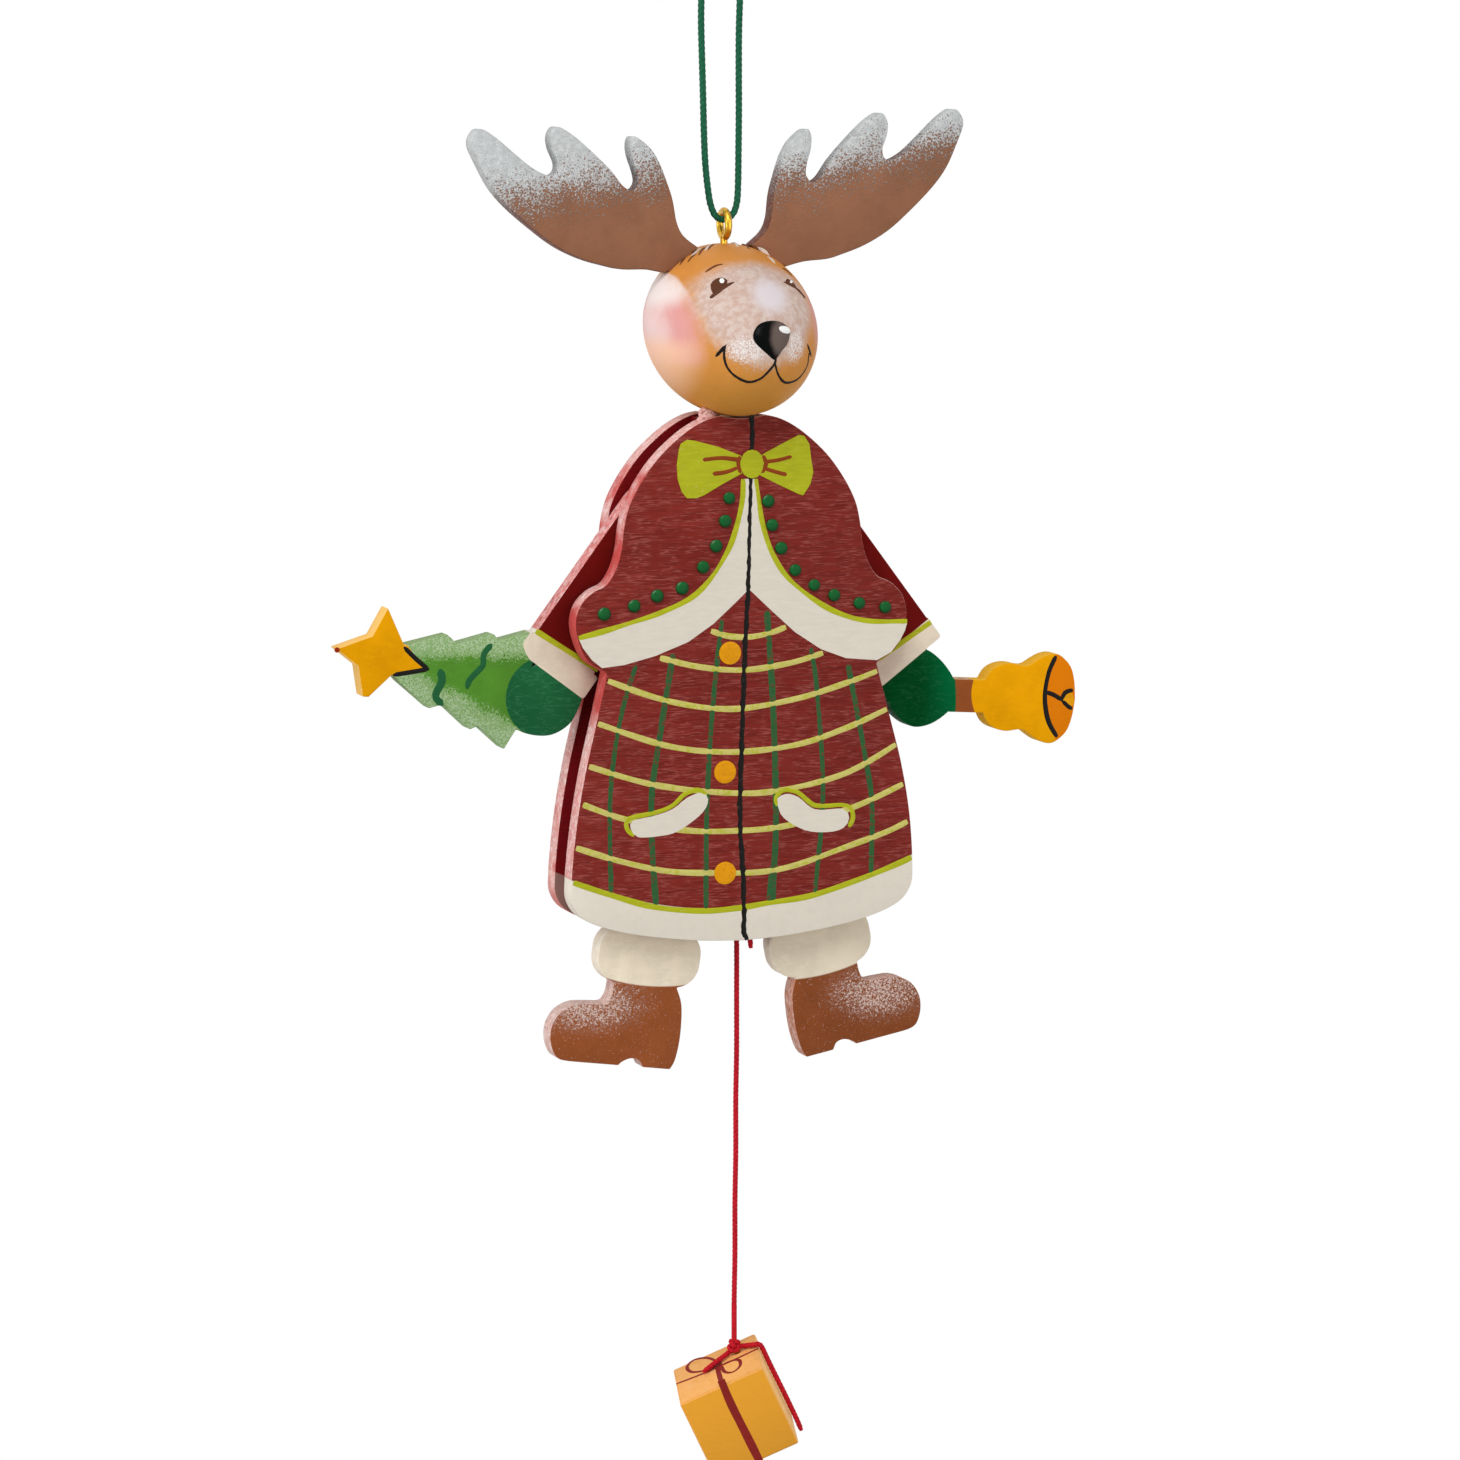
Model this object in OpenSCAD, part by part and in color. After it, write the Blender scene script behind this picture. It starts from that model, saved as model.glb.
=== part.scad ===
// Pull string jumping jack: a flat wooden moose that hangs from a loop and lifts its limbs.
// Millimetres. +Z is up, -Y is the painted front, +X is the viewer's right.
// The origin is at the crown of the hanging loop.

/* [Boards] */
// Thickness of each coat panel
panel_t = 2.7; // [2:0.1:4]
// Thickness of the arm and leg boards
limb_t = 2.8; // [2:0.1:4]
// Room between a limb and each panel
limb_play = 0.4; // [0.2:0.05:1]
// Thickness of the antler boards
antler_t = 2.4; // [2:0.1:4]

/* [Coat] */
// Width of the coat at the hem
coat_w = 40.7; // [38:0.5:48]
// Height of the coat from collar to hem
coat_h = 59.6; // [56:0.2:66]
// How far the collar tucks up round the underside of the head
collar_tuck = 0.2; // [0.1:0.05:0.5]

/* [Head] */
// Width of the head
head_w = 18.9; // [17:0.2:22]
// Height of the head
head_h = 18.6; // [17:0.2:22]
// Length of the head from back to muzzle
head_l = 26; // [21:0.5:28]
// How far the muzzle tips down, in degrees
head_tilt = 15; // [0:1:18]

/* [Antlers] */
// Reach of an antler from its root to the outer tine
antler_w = 23.6; // [18:0.5:30]
// Height of an antler above its root
antler_h = 16; // [12:0.5:20]
// Distance of the antler boards behind the middle of the head
antler_back = 1.9; // [1.5:0.1:3]
// Depth of the root tenon in the head
tenon_l = 3.2; // [2:0.2:5]
// Width of the root tenon
tenon_w = 3.4; // [2.5:0.1:4]
// How far the left antler leans out below the right one, in degrees
left_lean = 4; // [0:1:8]

/* [Screw eye and hanging loop] */
// Height from the middle of the eye up to the loop's crown
hang_h = 33; // [33:0.5:60]
// Outside diameter of the eye
eye_d = 3.8; // [3.2:0.1:5]
// Wire diameter of the eye
eye_wire = 0.85; // [0.6:0.05:1]
// Height of the eye's middle above the top of the head
eye_rise = 2.15; // [2.1:0.05:3.5]
// Distance of the eye behind the middle of the head
eye_back = 2; // [0:0.5:3]
// Length of the screw in the head
screw_l = 6; // [4:0.5:8]
// Diameter of the hanging cord
loop_d = 0.8; // [0.6:0.1:1.3]

/* [Arms] */
// Distance of the shoulder pivots from the middle
shoulder_x = 9; // [8:0.1:10]
// Depth of the shoulder pivots below the collar
shoulder_drop = 11.8; // [11:0.1:14]
// Length of the sleeve from the pivot to the cuff
sleeve_l = 18.2; // [16:0.2:22]
// Width of the sleeve
sleeve_w = 8.4; // [7:0.2:9]
// Width of the arm's cuff
wrist_w = 9.2; // [8:0.2:11]
// Length of the arm's cuff
wrist_l = 3; // [2:0.2:4]
// Width of the mitten
mitten_w = 9; // [7:0.2:10]
// Length of the mitten
mitten_l = 7.4; // [6:0.2:9]
// Angle of the arms from straight down at rest, in degrees
arm_rest = 37; // [30:1:45]

/* [Tree and bell] */
// Length of the fir tree from its foot to the star's middle
tree_l = 16.4; // [14:0.2:20]
// Width of the lowest tier
tree_w = 13.6; // [10:0.2:16]
// Reach of the star's points
star_r = 5; // [4:0.2:6.5]
// Length of the bell
bell_l = 11.6; // [10:0.2:15]
// Diameter of the bell's lip
bell_d = 10.4; // [8:0.2:13]
// Thickness of the bell's handle
handle_w = 3.8; // [3:0.2:5]

/* [Legs] */
// Distance of the hip pivots from the middle
hip_x = 8.6; // [8:0.1:10]
// Height of the hip pivots above the hem
hip_rise = 8.8; // [7.5:0.1:10]
// Width of the leg above the cuff
shank_w = 7.6; // [6:0.2:8.5]
// Distance from the hip pivot to the top of the cuff
shank_l = 7; // [6:0.2:8]
// Width of the leg's cuff
fur_w = 12.2; // [11:0.2:14]
// Height of the leg's cuff
fur_h = 6.6; // [5:0.2:8]
// Length of the boot
boot_l = 15.6; // [14:0.2:18]
// Height of the boot
boot_h = 9.4; // [8:0.1:11]
// How much longer the left leg is cut than the right one
left_leg_extra = 0.4; // [0:0.1:0.8]
// Swing of the left leg at rest, in degrees
left_leg_rest = 8; // [0:1:15]
// Swing of the right leg at rest, in degrees
right_leg_rest = 11; // [0:1:15]

/* [Pivots and strings] */
// Diameter of the wooden pegs
peg_d = 2; // [1.6:0.1:2.6]
// Radial running clearance of a limb on its peg
peg_play = 0.05; // [0.02:0.01:0.1]
// Depth of the blind peg holes in the front panel
peg_seat = 1.6; // [1:0.1:1.8]
// Stroke of the pull cord
pull_stroke = 6; // [4:0.5:6]
// Distance from the shoulder pivot to the string hole
arm_lever = 5.5; // [5:0.1:6]
// Distance from the hip pivot to the string hole
leg_lever = 6; // [5.5:0.1:6.5]
// Diameter of the string holes
string_hole = 1.3; // [1:0.1:1.4]
// Thickness of the thinned tail where the string is tied
tongue_t = 1; // [0.8:0.1:1.2]
// Diameter of the pull cord
pull_d = 0.65; // [0.6:0.05:0.9]
// Diameter of the link cords between the limbs
link_d = 0.7; // [0.5:0.05:0.8]

/* [Neck] */
// Width of the block between the panels
neck_w = 8; // [6:0.2:9]
// Height of the block
neck_h = 6.4; // [5:0.2:6.6]
// Diameter of the dowel into the head
dowel_d = 2.2; // [1.8:0.1:2.4]
// Depth of the dowel in the block and in the head
dowel_seat = 4; // [3:0.2:5]

/* [Gift] */
// Edge of the gift cube
gift_w = 10.4; // [8:0.1:12]
// Small chamfer along the cube's edges
gift_edge = 0.15; // [0.1:0.05:0.5]

/* [Hidden] */

$fn = 64;
round_fn = 96;
cord_sides = 8;
left = -1;
right = 1;

// Shared small sizes
glue_gap = 0.03;
seat_play = 0.15;
overrun = 1;

// Depths: the boards lie one behind the other along Y
gap = limb_t + 2 * limb_play;
panel_mid = gap / 2 + panel_t / 2;
back_face = gap / 2 + panel_t;

// Heights down from the crown of the loop
eye_z = -hang_h;
head_rise = norm([head_h / 2 * cos(head_tilt), head_l / 2 * sin(head_tilt)]);
head_z = eye_z - eye_rise - head_rise;
collar_z = head_z - head_rise + collar_tuck;
hem_z = collar_z - coat_h;
shoulder_z = collar_z - shoulder_drop;
hip_z = hem_z + hip_rise;

// The tails swing evenly either side of level over the stroke
arm_tail_angle = asin(pull_stroke / 2 / arm_lever);
leg_tail_angle = asin(pull_stroke / 2 / leg_lever);
arm_hole = [shoulder_x - arm_lever * cos(arm_tail_angle), shoulder_z + pull_stroke / 2];
leg_hole = [hip_x - leg_lever * cos(leg_tail_angle), hip_z + pull_stroke / 2];
tail_r = string_hole / 2 + link_d;
relief_r = tail_r + limb_play;

// Knots on the cords, their widths as shares of the cord's diameter
loop_knot_share = 2.2;
gift_knot_share = 2.8;
knot_shoulder_share = 0.25;
link_knot_d = pull_d + 2 * link_d;
loop_knot_d = loop_knot_share * loop_d;
gift_knot_d = gift_knot_share * pull_d;

// Hand-chosen outlines, as shares of half the width and of the height below the collar
cape_shares = [
  [0, 0], [0.13, 0], [0.24, 0.01], [0.36, 0.035], [0.49, 0.075], [0.59, 0.12], [0.66, 0.165],
  [0.69, 0.205],
  [0.705, 0.245], [0.735, 0.28], [0.79, 0.31], [0.875, 0.325], [0.945, 0.35], [0.97, 0.385],
  [0.945, 0.425],
  [0.895, 0.455], [0.815, 0.472]
];
left_skirt_shares = [
  [0.79, 0.478], [0.855, 0.575], [0.92, 0.67], [0.97, 0.77], [1, 0.87], [0.99, 0.915], [0.9, 0.948],
  [0.66, 0.975], [0.3, 0.994], [0, 1]
];
right_skirt_shares = [
  [0.79, 0.478], [0.866, 0.575], [0.94, 0.67], [0.992, 0.77], [1.012, 0.87], [0.996, 0.915], [0.9, 0.948],
  [0.66, 0.975], [0.3, 0.994], [0, 1]
];

// Antler from the inner side of its root round the three tines, as shares of its reach and height
antler_shares = [
  [-0.1, 0.08], [-0.03, 0.17], [0, 0.27], [0.012, 0.42], [0.032, 0.54], [0.068, 0.7], [0.112, 0.81],
  [0.18, 0.89],
  [0.205, 0.85], [0.205, 0.76], [0.185, 0.65], [0.18, 0.57], [0.21, 0.52], [0.255, 0.555], [0.31, 0.67],
  [0.4, 0.815], [0.49, 0.94], [0.56, 1], [0.595, 0.94], [0.593, 0.85], [0.57, 0.75], [0.58, 0.685],
  [0.62, 0.67],
  [0.69, 0.725], [0.77, 0.83], [0.855, 0.95], [0.93, 1.025], [0.973, 0.985], [0.985, 0.91],
  [0.955, 0.79],
  [0.9, 0.615], [0.825, 0.47], [0.71, 0.305], [0.6, 0.17], [0.48, 0.07], [0.36, 0.005], [0.285, -0.025],
  [0.17, -0.04], [0.075, -0.075]
];
root_angle_share = 0.36;

// Boot as shares of its length from the leg's axis and of its height below the cuff
heel_shares = [[-0.24, 0], [-0.29, 0.18], [-0.31, 0.4], [-0.315, 0.65], [-0.3, 0.88], [-0.27, 1]];
arch_shares = [[-0.055, 1], [-0.02, 0.92], [0.04, 0.905], [0.1, 0.95], [0.13, 1]];
toe_shares = [
  [0.4, 1], [0.58, 0.985], [0.65, 0.87], [0.68, 0.69], [0.665, 0.53], [0.615, 0.4], [0.52, 0.305],
  [0.4, 0.28], [0.3, 0.265], [0.265, 0.2], [0.25, 0.1], [0.25, 0]
];

// The two hand-cut mittens as shares of their width and of their length below the cuff
left_mitten_shares = [
  [-0.5, -0.1], [-0.56, 0.15], [-0.58, 0.43], [-0.475, 0.71], [-0.28, 0.885], [-0.05, 0.97], [0.14, 0.93],
  [0.27, 0.72], [0.3, 0.42], [0.26, 0.12], [0.17, -0.1]
];
right_mitten_shares = [
  [-0.5, -0.1], [-0.57, 0.15], [-0.61, 0.47], [-0.53, 0.81], [-0.32, 0.98], [-0.05, 1.02], [0.14, 0.95],
  [0.27, 0.72], [0.3, 0.42], [0.26, 0.12], [0.17, -0.1]
];

// Half of the fir tree and of the bell, as shares of the length and of the width
tree_shares = [
  [-0.05, 0], [-0.05, 0.32], [0, 0.5], [0.22, 0.36], [0.27, 0.405], [0.5, 0.255], [0.585, 0.31],
  [0.84, 0.155], [1, 0]
];
bell_shares = [
  [0, 0.1], [0.026, 0.2], [0.078, 0.295], [0.164, 0.354], [0.285, 0.378], [0.45, 0.355], [0.56, 0.425],
  [0.65, 0.48], [0.75, 0.502], [0.83, 0.47], [0.93, 0.36], [0.98, 0.195], [1, 0]
];

// The hand-cut star, as shares of its reach
star_shares = [
  [1.05, -0.03], [0.32, 0.43], [0.13, 1.12], [-0.44, 0.4], [-0.96, 0], [-0.32, -0.33], [0.06, -0.9],
  [0.2, -0.93], [0.47, -0.29]
];

// Where the tree and the bell sit on the hand
hand_share = 0.44;
tree_reach = 1.9;
tree_rise = 0.5;
tree_angle = 15;
bell_reach = 6.7;
bell_drop = 1.5;
bell_angle = -4;
handle_share = 0.25;

// Rounding of the cuffs, as a share of their length, and how far the arm's cuff sits toward the body
wrist_round_share = 0.12;
fur_round_share = 0.42;
wrist_shift = 0.3;

// Attitude of the gift as it hangs from its off-centre knot
gift_turn = [8.8, -24.4, -17.6];
// The knot sits this share of the edge beside and behind the middle of the cube's top
knot_side_share = 0.262;
knot_back_share = 0.19;
// The cord's end is glued into a hole this many diameters deep
plug_share = 3;
tie_lift = 0.1;
// The long end of the gift's cord: cord diameters off the side, edges behind and above the middle
drop_shares = [
  [0, 0.08, 0.3], [0.05, 0.06, 0.1], [0.1, 0.05, -0.1], [0.1, 0.05, -0.3], [0.1, 0.04, -0.46],
  [0, 0.04, -0.6]
];
// The short end along the top: edges beside and behind the middle
short_shares = [[0.17, 0.19], [0.08, 0.13], [-0.03, 0.06], [-0.15, -0.02]];

// Hand-chosen routes of the cords, ring by ring
loop_route = [
  [1.25, 0.2, -2.9], [1.3, 0.2, -1.9], [1, 0.1, -0.6], [0, 0, 0], [-1.5, 0.1, -0.4],
  [-2.6, 0.2, -1.8],
  [-3.1, 0.4, -4.2], [-3.15, 0.6, -7], [-3.1, 0.9, -10.5], [-2.9, 1.2, -14.5], [-2.68, 1.5, -18.5],
  [-2.48, 1.8, -22.5], [-2.26, 2, -26], [-1.97, 2, -28.8], [-1.62, 2, -30.8], [-1, 2, -32.1], [0, 2, -32.5],
  [1, 2, -31.9], [1.5, 2, -30.6], [1.65, 2, -28.4], [1.66, 1.9, -25], [1.6, 1.6, -20.5], [1.45, 1.2, -16],
  [1.33, 0.8, -11.5], [1.25, 0.2, -7.4], [1.25, 0.2, -5.3]
];
pull_route = [
  [0, 0, -64.5], [0, 0, -70], [0, 0, -76], [0, 0, -82], [0, 0, -88], [0, 0, -94], [0, 0, -99],
  [0.1, 0, -103], [0.4, 0, -107], [0.7, 0, -111], [0.8, 0, -115], [0.8, 0, -121], [0.8, 0, -127],
  [0.7, 0, -133], [0.7, 0, -139], [0.6, 0, -145], [0.6, 0, -151], [0.5, 0, -157], [0.5, 0, -161.9]
];
tail_route = [
  [0.6, -0.8, -103.4], [0.9, -0.9, -106], [1.5, -0.9, -109], [1.9, -0.9, -112], [2.2, -0.9, -115.3]
];

// Points on an arc about c
function arc(c, r, from, to, n = 10) =
  [for (k = [0 : n]) let (a = from + (to - from) * k / n) c + r * [cos(a), sin(a)]];

// One point of a smooth curve between b and c
function between(a, b, c, d, t) =
  (2 * b + (c - a) * t + (2 * a - 5 * b + 4 * c - d) * t * t + (3 * b - a - 3 * c + d) * t * t * t) / 2;

function last(p) = p[len(p) - 1];

// Smooth open curve through the points of p
function curve(p, n = 5) = concat(
  [
    for (i = [0 : len(p) - 2], k = [0 : n - 1])
      between(p[max(i - 1, 0)], p[i], p[i + 1], p[min(i + 2, len(p) - 1)], k / n)
  ],
  [last(p)]
);

// Shares made into sizes
function sized(shares, w, h) = [for (s = shares) [s[0] * w, s[1] * h]];

// The same points on the other side of the Y axis, or of the X axis, in the opposite order
function flipped_x(p) = [for (i = [len(p) - 1 : -1 : 0]) [-p[i][0], p[i][1]]];
function flipped_y(p) = [for (i = [len(p) - 1 : -1 : 0]) [p[i][0], -p[i][1]]];

function unit(v) = v / norm(v);
function heading(p, i) = unit(p[min(i + 1, len(p) - 1)] - p[max(i - 1, 0)]);

// Round cord along a route; up is a direction that the route never takes
module cord(route, d, up) {
  n = len(route);
  rim = [
    for (i = [0 : n - 1])
      let (u = unit(cross(heading(route, i), up)), v = cross(heading(route, i), u))
        for (k = [0 : cord_sides - 1])
          let (a = 360 * k / cord_sides) route[i] + d / 2 * (cos(a) * u + sin(a) * v)
  ];
  wall = [
    for (i = [0 : n - 2], k = [0 : cord_sides - 1])
      let (a = i * cord_sides + k, b = i * cord_sides + (k + 1) % cord_sides)
        each [[a, b, b + cord_sides], [a, b + cord_sides, a + cord_sides]]
  ];
  first = [for (k = [cord_sides - 1 : -1 : 0]) k];
  last = [for (k = [0 : cord_sides - 1]) (n - 1) * cord_sides + k];
  polyhedron(rim, concat([first, last], wall));
}

// A board of thickness t that stands in the XZ plane, its outline drawn in X and Z
module board(t) {
  rotate([90, 0, 0]) translate([0, 0, -t / 2]) linear_extrude(t) children();
}

// A round hole or peg along Y
module round_y(d, from, to) {
  translate([0, from, 0]) rotate([-90, 0, 0]) cylinder(d = d, h = to - from);
}

// Barrel-shaped knot about Z with flat ends as wide as the cord
module knot(d, h, cord_d) {
  shoulder = knot_shoulder_share * h;
  side = curve([[cord_d / 2, -h / 2], [d / 2, -shoulder], [d / 2, shoulder], [cord_d / 2, h / 2]]);
  rotate_extrude() polygon(concat([[0, -h / 2]], side, [[0, h / 2]]));
}

// Coat
function coat_half(skirt_shares) = concat(
  curve(sized(cape_shares, coat_w / 2, -coat_h)), curve(sized(skirt_shares, coat_w / 2, -coat_h))
);

module coat_outline() {
  half = coat_half(left_skirt_shares);
  inner = [for (i = [1 : len(half) - 2]) half[i]];
  polygon(concat(coat_half(right_skirt_shares), flipped_x(inner)));
}

// The children at each of the four pegs
module at_pegs() {
  for (side = [left, right]) {
    translate([side * shoulder_x, 0, shoulder_z]) children();
    translate([side * hip_x, 0, hip_z]) children();
  }
}

// Hollow at the collar for the underside of the head
module head_seat() {
  translate([0, 0, head_z]) round_y(2 * (head_rise + seat_play), -back_face - overrun, back_face + overrun);
}

module front_panel() {
  color("brown") difference() {
    translate([0, -panel_mid, collar_z]) board(panel_t) coat_outline();
    at_pegs() round_y(peg_d + 2 * glue_gap, -gap / 2 - peg_seat - glue_gap, -gap / 2 + overrun);
    head_seat();
  }
}

module back_panel() {
  color("brown") difference() {
    translate([0, panel_mid, collar_z]) board(panel_t) coat_outline();
    at_pegs() round_y(peg_d + 2 * glue_gap, gap / 2 - overrun, back_face + overrun);
    head_seat();
  }
}

// Neck
neck_top = collar_z - 2 * collar_tuck;

module neck_block() {
  color("burlywood") difference() {
    translate([-neck_w / 2, -gap / 2, neck_top - neck_h]) cube([neck_w, gap, neck_h]);
    translate([0, 0, neck_top - dowel_seat - glue_gap])
      cylinder(d = dowel_d + 2 * glue_gap, h = dowel_seat + overrun);
  }
}

module neck_dowel() {
  color("burlywood") translate([0, 0, neck_top - dowel_seat])
    cylinder(d = dowel_d, h = 2 * dowel_seat);
}

// Head
module head_form() {
  translate([0, 0, head_z]) rotate([head_tilt, 0, 0])
    scale([head_w / 2, head_l / 2, head_h / 2]) sphere(1, $fn = round_fn);
}

// The root of an antler on the edge of the head
root_r = head_w / 2 + seat_play;
root_angle = root_angle_share * 90;
root_at = root_r * [sin(root_angle), cos(root_angle)];

module head() {
  color("peru") difference() {
    head_form();
    translate([0, 0, neck_top - glue_gap])
      cylinder(d = dowel_d + 2 * glue_gap, h = dowel_seat + 2 * glue_gap);
    translate([0, eye_back, eye_z - eye_d / 2 - screw_l - glue_gap])
      cylinder(d = eye_wire + 2 * glue_gap, h = screw_l + overrun);
    for (side = [left, right])
      antler_place(side, antler_t + 2 * glue_gap) tenon(glue_gap);
  }
}

// Antlers
module tenon(room) {
  rotate(-root_angle) translate([-tenon_w / 2 - room, -tenon_l - room])
    square([tenon_w + 2 * room, tenon_l + overrun]);
}

module antler_place(side, t) {
  lean = side == left ? left_lean : 0;
  translate([0, antler_back, head_z]) mirror([side == left ? 1 : 0, 0, 0]) board(t)
    rotate(-lean) translate(root_at) children();
}

module antler(side) {
  color("sienna") union() {
    antler_place(side, antler_t) polygon(curve(sized(antler_shares, antler_w, antler_h), 4));
    antler_place(side, antler_t) tenon(0);
  }
}

module antler_left() { antler(left); }
module antler_right() { antler(right); }

// Screw eye, its ring square to the cord
module screw_eye() {
  ring_r = eye_d / 2 - eye_wire / 2;
  color("gold") translate([0, eye_back, eye_z]) {
    rotate([0, 90, 0]) rotate_extrude($fn = round_fn) translate([ring_r, 0]) circle(d = eye_wire);
    translate([0, 0, -eye_d / 2 - screw_l]) cylinder(d = eye_wire, h = screw_l + eye_wire / 2);
  }
}

module hang_loop() { color("darkgreen") cord(loop_route, loop_d, [0, 1, 0]); }

module hang_knot() {
  top = loop_route[0];
  foot = last(loop_route);
  color("darkgreen") translate((top + foot) / 2) knot(loop_knot_d, norm(top - foot) - 2 * glue_gap, loop_d);
}

// Pegs
module peg(side, x, z) {
  color("burlywood") translate([side * x, 0, z]) round_y(peg_d, -gap / 2 - peg_seat, back_face);
}

module arm_peg_left() { peg(left, shoulder_x, shoulder_z); }
module arm_peg_right() { peg(right, shoulder_x, shoulder_z); }
module leg_peg_left() { peg(left, hip_x, hip_z); }
module leg_peg_right() { peg(right, hip_x, hip_z); }

// A limb drawn for the right side about its pivot: the children are its blade in the rest pose
module limb(side, x, z, lever, tail_angle) {
  hole = lever * [-cos(tail_angle), sin(tail_angle)];
  mirror([side == left ? 1 : 0, 0, 0]) translate([x, 0, z]) difference() {
    union() {
      board(limb_t) children();
      board(limb_t) rotate(180 - tail_angle) translate([0, -tail_r]) square([lever, 2 * tail_r]);
      translate([hole[0], 0, hole[1]]) round_y(2 * tail_r, -limb_t / 2, limb_t / 2);
    }
    round_y(peg_d + 2 * peg_play, -limb_t / 2 - overrun, limb_t / 2 + overrun);
    translate([hole[0], 0, hole[1]]) {
      round_y(string_hole, -limb_t / 2 - overrun, limb_t / 2 + overrun);
      round_y(2 * relief_r, -limb_t / 2 - overrun, -tongue_t / 2);
      round_y(2 * relief_r, tongue_t / 2, limb_t / 2 + overrun);
    }
  }
}

// Strap with a round end about the pivot, hanging to a given length
module strap(w, l) {
  polygon(concat(arc([0, 0], w / 2, 0, 180, 24), [[-w / 2, -l], [w / 2, -l]]));
}

// Cuff with round corners, its top edge at height zero
module cuff(w, l, round_share) {
  r = round_share * l;
  polygon(concat(
    arc([w / 2 - r, -r], r, 0, 90), arc([r - w / 2, -r], r, 90, 180),
    arc([r - w / 2, r - l], r, 180, 270), arc([w / 2 - r, r - l], r, 270, 360)
  ));
}

// Arms
module sleeve_and_mitten(mitten_shares) {
  strap(sleeve_w, sleeve_l + wrist_l / 2);
  translate([-wrist_shift, -sleeve_l]) cuff(wrist_w, wrist_l, wrist_round_share);
  translate([0, -sleeve_l - wrist_l]) polygon(curve(sized(mitten_shares, mitten_w, -mitten_l)));
}

// Middle of the mitten in the rest pose
hand_l = sleeve_l + wrist_l + hand_share * mitten_l;
hand_at = hand_l * [sin(arm_rest), -cos(arm_rest)];

module tree_and_star() {
  half = sized(tree_shares, tree_l, tree_w);
  polygon(concat(half, flipped_y(half)));
  translate([tree_l, 0]) polygon(sized(star_shares, star_r, star_r));
}

module bell() {
  half = curve(sized(bell_shares, bell_l, bell_d), 3);
  polygon(concat(half, flipped_y(half)));
  translate([-bell_reach, -handle_w / 2]) square([bell_reach + handle_share * bell_l, handle_w]);
}

module arm_left() {
  color("brown") limb(left, shoulder_x, shoulder_z, arm_lever, arm_tail_angle) {
    rotate(arm_rest) sleeve_and_mitten(left_mitten_shares);
    translate(hand_at) rotate(tree_angle) translate([tree_reach, tree_rise]) tree_and_star();
  }
}

module arm_right() {
  color("brown") limb(right, shoulder_x, shoulder_z, arm_lever, arm_tail_angle) {
    rotate(arm_rest) sleeve_and_mitten(right_mitten_shares);
    translate(hand_at) rotate(bell_angle) translate([bell_reach, -bell_drop]) bell();
  }
}

// Legs
module shank_and_boot(l) {
  strap(shank_w, l + fur_h / 2);
  translate([0, -l]) cuff(fur_w, fur_h, fur_round_share);
  translate([0, -l - fur_h]) polygon(concat(
    [[heel_shares[0][0] * boot_l, fur_h / 2]],
    curve(sized(heel_shares, boot_l, -boot_h)),
    curve(sized(arch_shares, boot_l, -boot_h)),
    curve(sized(toe_shares, boot_l, -boot_h)),
    [[last(toe_shares)[0] * boot_l, fur_h / 2]]
  ));
}

module leg(side, swing, l) {
  color("saddlebrown") limb(side, hip_x, hip_z, leg_lever, leg_tail_angle) rotate(swing) shank_and_boot(l);
}

module leg_left() { leg(left, left_leg_rest, shank_l + left_leg_extra); }
module leg_right() { leg(right, right_leg_rest, shank_l); }

// Link cords: in front of one tongue, through its hole, behind the pull cord and out at the other
link_y = tongue_t / 2 + link_d / 2 + glue_gap;
knot_back = pull_d / 2 + link_d / 2 + glue_gap;

function link_half(hole) = [
  [hole[0] + tail_r, -link_y, hole[1] - tail_r / 2], [hole[0] + link_d / 4, -link_y, hole[1]],
  [hole[0], 0, hole[1]],
  [hole[0] - link_d / 4, link_y, hole[1]], [hole[0] / 2, link_y, hole[1] - link_d / 2]
];

function link_route(hole) = concat(
  link_half(hole), [[0, knot_back, hole[1] - link_d]],
  [for (i = [4 : -1 : 0]) let (p = link_half(hole)[i]) [-p[0], p[1], p[2]]]
);

module arm_link_cord() { color("crimson") cord(link_route(arm_hole), link_d, [0, 0, 1]); }
module leg_link_cord() { color("crimson") cord(link_route(leg_hole), link_d, [0, 0, 1]); }

module link_knot(hole) {
  color("crimson") translate([0, knot_back / 2, hole[1] - link_d]) knot(link_knot_d, link_knot_d, pull_d);
}

module arm_link_knot() { link_knot(arm_hole); }
module leg_link_knot() { link_knot(leg_hole); }

// Pull cord and the short end of its lower knot
module pull_cord() { color("crimson") cord(pull_route, pull_d, [0, 1, 0]); }
module cord_tail() { color("crimson") cord(tail_route, pull_d, [0, 1, 0]); }

// Gift, placed by the knot at the foot of the pull cord
knot_x = knot_side_share * gift_w;
knot_y = knot_back_share * gift_w;
knot_lift = gift_w / 2 + glue_gap + gift_knot_d / 2;
tie_level = gift_w / 2 + tie_lift + pull_d / 2;
plug_l = plug_share * pull_d;

module at_gift() {
  translate(last(pull_route)) rotate(gift_turn) translate([-knot_x, -knot_y, -knot_lift]) children();
}

module gift_box() {
  e = gift_w / 2 - gift_edge;
  h = gift_w / 2;
  color("goldenrod") at_gift() difference() {
    union() {
      translate([0, 0, -e]) linear_extrude(2 * e)
        polygon([[h, -e], [h, e], [e, h], [-e, h], [-h, e], [-h, -e], [-e, -h], [e, -h]]);
      translate([-e, -e, -h]) cube([2 * e, 2 * e, 2 * h]);
    }
    translate([knot_x, knot_y, h - plug_l - glue_gap])
      cylinder(d = pull_d + 2 * glue_gap, h = plug_l + overrun);
  }
}

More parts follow.
